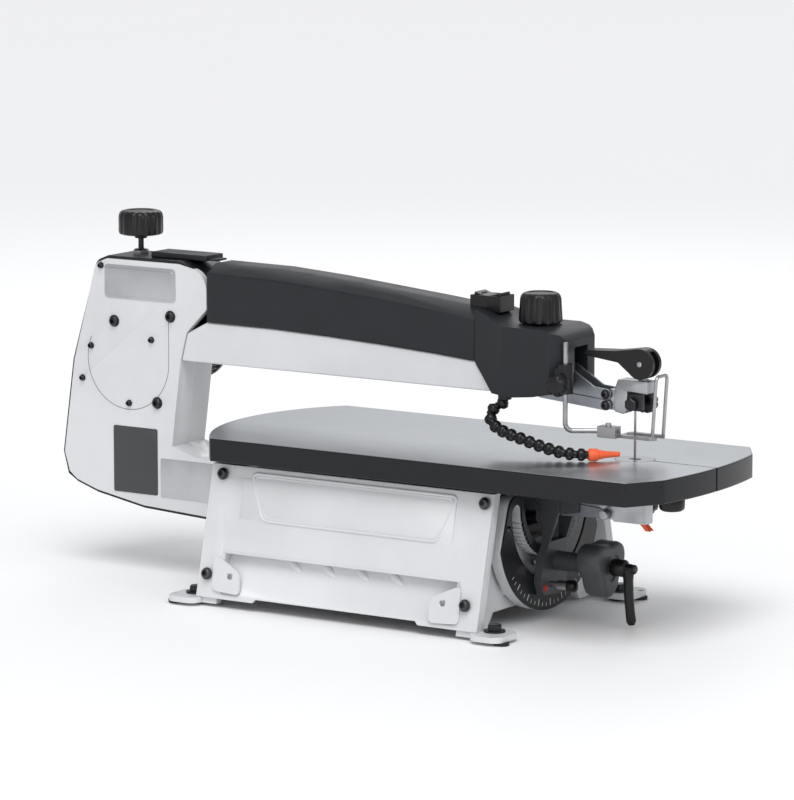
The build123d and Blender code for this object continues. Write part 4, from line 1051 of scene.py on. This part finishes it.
class SAW_OT_switch(bpy.types.Operator):
    """Mould the power switch: a rocker whose top dips along a parabola."""

    bl_idname = "saw.switch"
    bl_label = "Power switch"

    def execute(self, context):
        low, high = span("power_switch")
        share = np.linspace(-1, 1, 21)
        x = (low[0] + high[0]) / 2 + share * (high[0] - low[0]) / 2
        top = high[2] - 3.4 + 3.4 * np.abs(share) ** 1.7
        foot = np.full(len(x), low[2] + 2)
        side = high[1]
        ring = [
            (-side, foot), (side, foot), (side, top - 1), (side - 1, top), (1 - side, top),
            (-side, top - 1),
        ]
        rows = np.stack([np.stack([x, np.full(len(x), y), z], axis=1) for y, z in ring], axis=1)
        bar = soft_block((x[3], -5, top[3] - 0.4), (x[3] + 1.6, 5, top[3] + 0.5), 0.4)
        piece("switch_rocker", [shell(rows), bar], "black_knob", "power_switch", ("power_switch",))
        return {"FINISHED"}


class SAW_OT_tilt_marks(bpy.types.Operator):
    """Mark the tilt scale with ticks and add the stop's red button."""

    bl_idname = "saw.tilt_marks"
    bl_label = "Tilt marks"

    def execute(self, context):
        face = span("tilt_scale_plate")[1][0]
        ticks = []
        for degrees in range(-55, 56, 5):
            turn = math.radians(degrees)
            out = np.array([math.sin(turn), -math.cos(turn)])
            beside = np.array([math.cos(turn), math.sin(turn)]) * (0.55 if degrees % 15 == 0 else 0.35)
            near, far = out * (84 if degrees % 15 == 0 else 87), out * 91
            corners = np.array([near - beside, near + beside, far + beside, far - beside]) + (0, -70)
            ticks.append(plate(corners, face - 0.1, face + 0.15, 0.02, facing))
        piece("tilt_scale_ticks", ticks, "white_enamel", "base")
        low, high = span("tilt_stop_pin")
        spot = (low[0] + 4, low[1] - 6, low[2] + 2)
        cap = [(0, 4.2), (3.4, 4.2), (4.6, 3.6), (5.2, 2.2), (5.3, 0.5)]
        piece("tilt_stop_button", [lathe(cap, spot, ALONG, 32)], "red_button", "saw_frame")
        tip = [(0, 5.6), (0.4, 6.2), (7, 6.2), (9, 5.4), (9.6, 3.5), (9.7, 0.5)]
        spot = (high[0] - 5, (low[1] + high[1]) / 2, (low[2] + high[2]) / 2)
        piece("tilt_stop_tip", [lathe(tip, spot, ALONG, 32)], "black_knob", "saw_frame")
        return {"FINISHED"}


class SAW_OT_rear(bpy.types.Operator):
    """Turn the finned motor and the ribbed cord gland."""

    bl_idname = "saw.rear"
    bl_label = "Motor and gland"

    def execute(self, context):
        low, high = span("motor")
        radius, far = (high[0] - low[0]) / 2, high[1]
        middle = ((low[0] + high[0]) / 2, 0, (low[2] + high[2]) / 2)
        body = [
            (low[1], 18), (30.2, 18), (30.2, radius - 1.6), (31.6, radius), (36, radius),
            (36.8, radius - 0.6), (far - 9, radius - 0.6), (far - 8.2, radius), (far - 3.6, radius),
            (far - 1.2, radius - 1.2), (far, radius - 4), (far, 13), (far - 0.8, 12.2), (far - 0.8, 2),
        ]
        fins = fluted(36, 0.07, 0.37, 0.47)
        knob("motor_body", body, middle, ACROSS, fins, "saw_frame", ("motor",), "black_enamel", 216)
        turn = np.radians(np.arange(0, 360, 30))
        slots = []
        for t in turn:
            spot = np.array([middle[0] + 21 * math.cos(t), far, middle[2] + 21 * math.sin(t)])
            slots.append(soft_block(spot - (1.6, 0.6, 4), spot + (1.6, 0.4, 4), 0.4))
        piece("motor_vent_bars", slots, "black_knob", "saw_frame")
        low, high = span("cord_gland")
        middle = (high[0], 0, (low[2] + high[2]) / 2)
        long = high[0] - low[0]
        ribs = [(0, 7.8)]
        for start in np.arange(1.5, long - 2, 2.6):
            ribs += [(start, 7.8), (start + 0.3, 6.9), (start + 1.3, 6.9), (start + 1.6, 7.8)]
        ribs += [(long - 0.4, 7.8), (long, 7.2), (long, 5), (2, 5), (2, 0.5)]
        knob(
            "cord_gland_ribbed", ribs, middle, (-1, 0, 0), None, "saw_frame", ("cord_gland",), sides=40
        )
        return {"FINISHED"}


class SAW_OT_stage(bpy.types.Operator):
    """Set the camera, the pale floor and the soft studio lights."""

    bl_idname = "saw.stage"
    bl_label = "Stage"

    def execute(self, context):
        scene = context.scene
        view = bpy.data.cameras.new("camera")
        view.lens = CAMERA_LENS
        view.sensor_width = 36
        view.clip_end = 100
        camera = bpy.data.objects.new("camera", view)
        scene.collection.objects.link(camera)
        look = Vector(CAMERA_LOOK).normalized()
        right = look.cross(Vector(UP)).normalized()
        turned = Matrix((right, right.cross(look), -look)).transposed().to_4x4()
        camera.matrix_world = Matrix.Translation(CAMERA_PLACE) @ turned
        scene.camera = camera
        reach = np.linspace(-9, 9, 10)
        floor_x, floor_y = np.meshgrid(reach, reach, indexing="ij")
        spots = np.stack([floor_x, floor_y, 0 * floor_x - 0.0005], axis=-1).reshape(-1, 3)
        near = (np.arange(9)[:, None] * 10 + np.arange(9)[None, :]).ravel()
        faces = np.stack([near, near + 10, near + 11, near + 1], axis=1)
        mesh = bpy.data.meshes.new("studio_floor")
        mesh.from_pydata(spots.tolist(), [], faces.tolist())
        paint = Paint("studio_floor")
        tone = paint.mix(paint.noise(0.6, 2), (0.94, 0.94, 0.94, 1), (0.955, 0.955, 0.96, 1))
        mesh.materials.append(paint.done(Base_Color=tone, Roughness=0.6))
        floor = bpy.data.objects.new("studio_floor", mesh)
        scene.collection.objects.link(floor)
        world = bpy.data.worlds.new("studio")
        world.use_nodes = True
        tree = world.node_tree
        glow = tree.nodes["Background"]
        glow.inputs["Color"].default_value = (0.97, 0.98, 1.0, 1)
        glow.inputs["Strength"].default_value = 0.52
        sweep = tree.nodes.new("ShaderNodeBackground")
        sweep.inputs["Color"].default_value = (1, 1, 1, 1)
        chooser = tree.nodes.new("ShaderNodeMixShader")
        tree.links.new(tree.nodes.new("ShaderNodeLightPath").outputs["Is Camera Ray"], chooser.inputs[0])
        tree.links.new(glow.outputs[0], chooser.inputs[1])
        tree.links.new(sweep.outputs[0], chooser.inputs[2])
        tree.links.new(chooser.outputs[0], tree.nodes["World Output"].inputs["Surface"])
        scene.world = world
        for name, kind, place, wide, power in LAMPS:
            lamp = bpy.data.lights.new(name, kind)
            if kind == "SUN":
                lamp.angle = math.radians(wide)
            else:
                lamp.shape = "DISK"
                lamp.size = wide * sizes().shadow / 2.6
            lamp.energy = power
            holder = bpy.data.objects.new(name, lamp)
            scene.collection.objects.link(holder)
            aim = Vector(AIM) - Vector(place)
            turn = aim.to_track_quat("-Z", "Y").to_matrix().to_4x4()
            holder.matrix_world = Matrix.Translation(place) @ turn
        scene.view_settings.view_transform = "Standard"
        return {"FINISHED"}


LAMPS = (
    ("overhead_sun", "SUN", (0.7, -1.5, 3.0), 40.0, 1.72),
    ("side_box", "AREA", (0.6, -2.8, 0.9), 1.6, 10.0),
    ("front_box", "AREA", (2.6, -0.6, 1.3), 1.2, 9.0),
    ("back_box", "AREA", (-1.2, 2.2, 1.9), 1.8, 10.0),
)

PIECES = (
    SAW_OT_finishes, SAW_OT_hose, SAW_OT_castings, SAW_OT_knobs, SAW_OT_lock_lever, SAW_OT_screws,
    SAW_OT_blade, SAW_OT_clamp, SAW_OT_trough, SAW_OT_plates, SAW_OT_seams, SAW_OT_switch, SAW_OT_tilt_marks,
    SAW_OT_rear,
)


class SAW_PT_panel(bpy.types.Panel):
    """Sidebar panel with the saw's sizes, colours and pieces."""

    bl_label = "Scroll Saw"
    bl_idname = "SAW_PT_panel"
    bl_space_type = "VIEW_3D"
    bl_region_type = "UI"
    bl_category = "Scroll Saw"

    def draw(self, context):
        for group in (context.scene.saw_sizes, context.scene.saw_colours):
            box = self.layout.box()
            for key in group.__annotations__:
                box.prop(group, key)
        for kind in (SAW_OT_stage,) + PIECES:
            self.layout.operator(kind.bl_idname)


CLASSES = (SawColours, SawSizes, SAW_OT_stage) + PIECES + (SAW_PT_panel,)


def register():
    for kind in CLASSES:
        bpy.utils.register_class(kind)
    bpy.types.Scene.saw_colours = PointerProperty(type=SawColours)
    bpy.types.Scene.saw_sizes = PointerProperty(type=SawSizes)


def unregister():
    del bpy.types.Scene.saw_sizes
    del bpy.types.Scene.saw_colours
    for kind in reversed(CLASSES):
        bpy.utils.unregister_class(kind)


def main():
    register()
    bpy.ops.saw.stage()
    for kind in PIECES:
        getattr(bpy.ops.saw, kind.bl_idname.split(".")[1])()


if __name__ == "__main__":
    main()
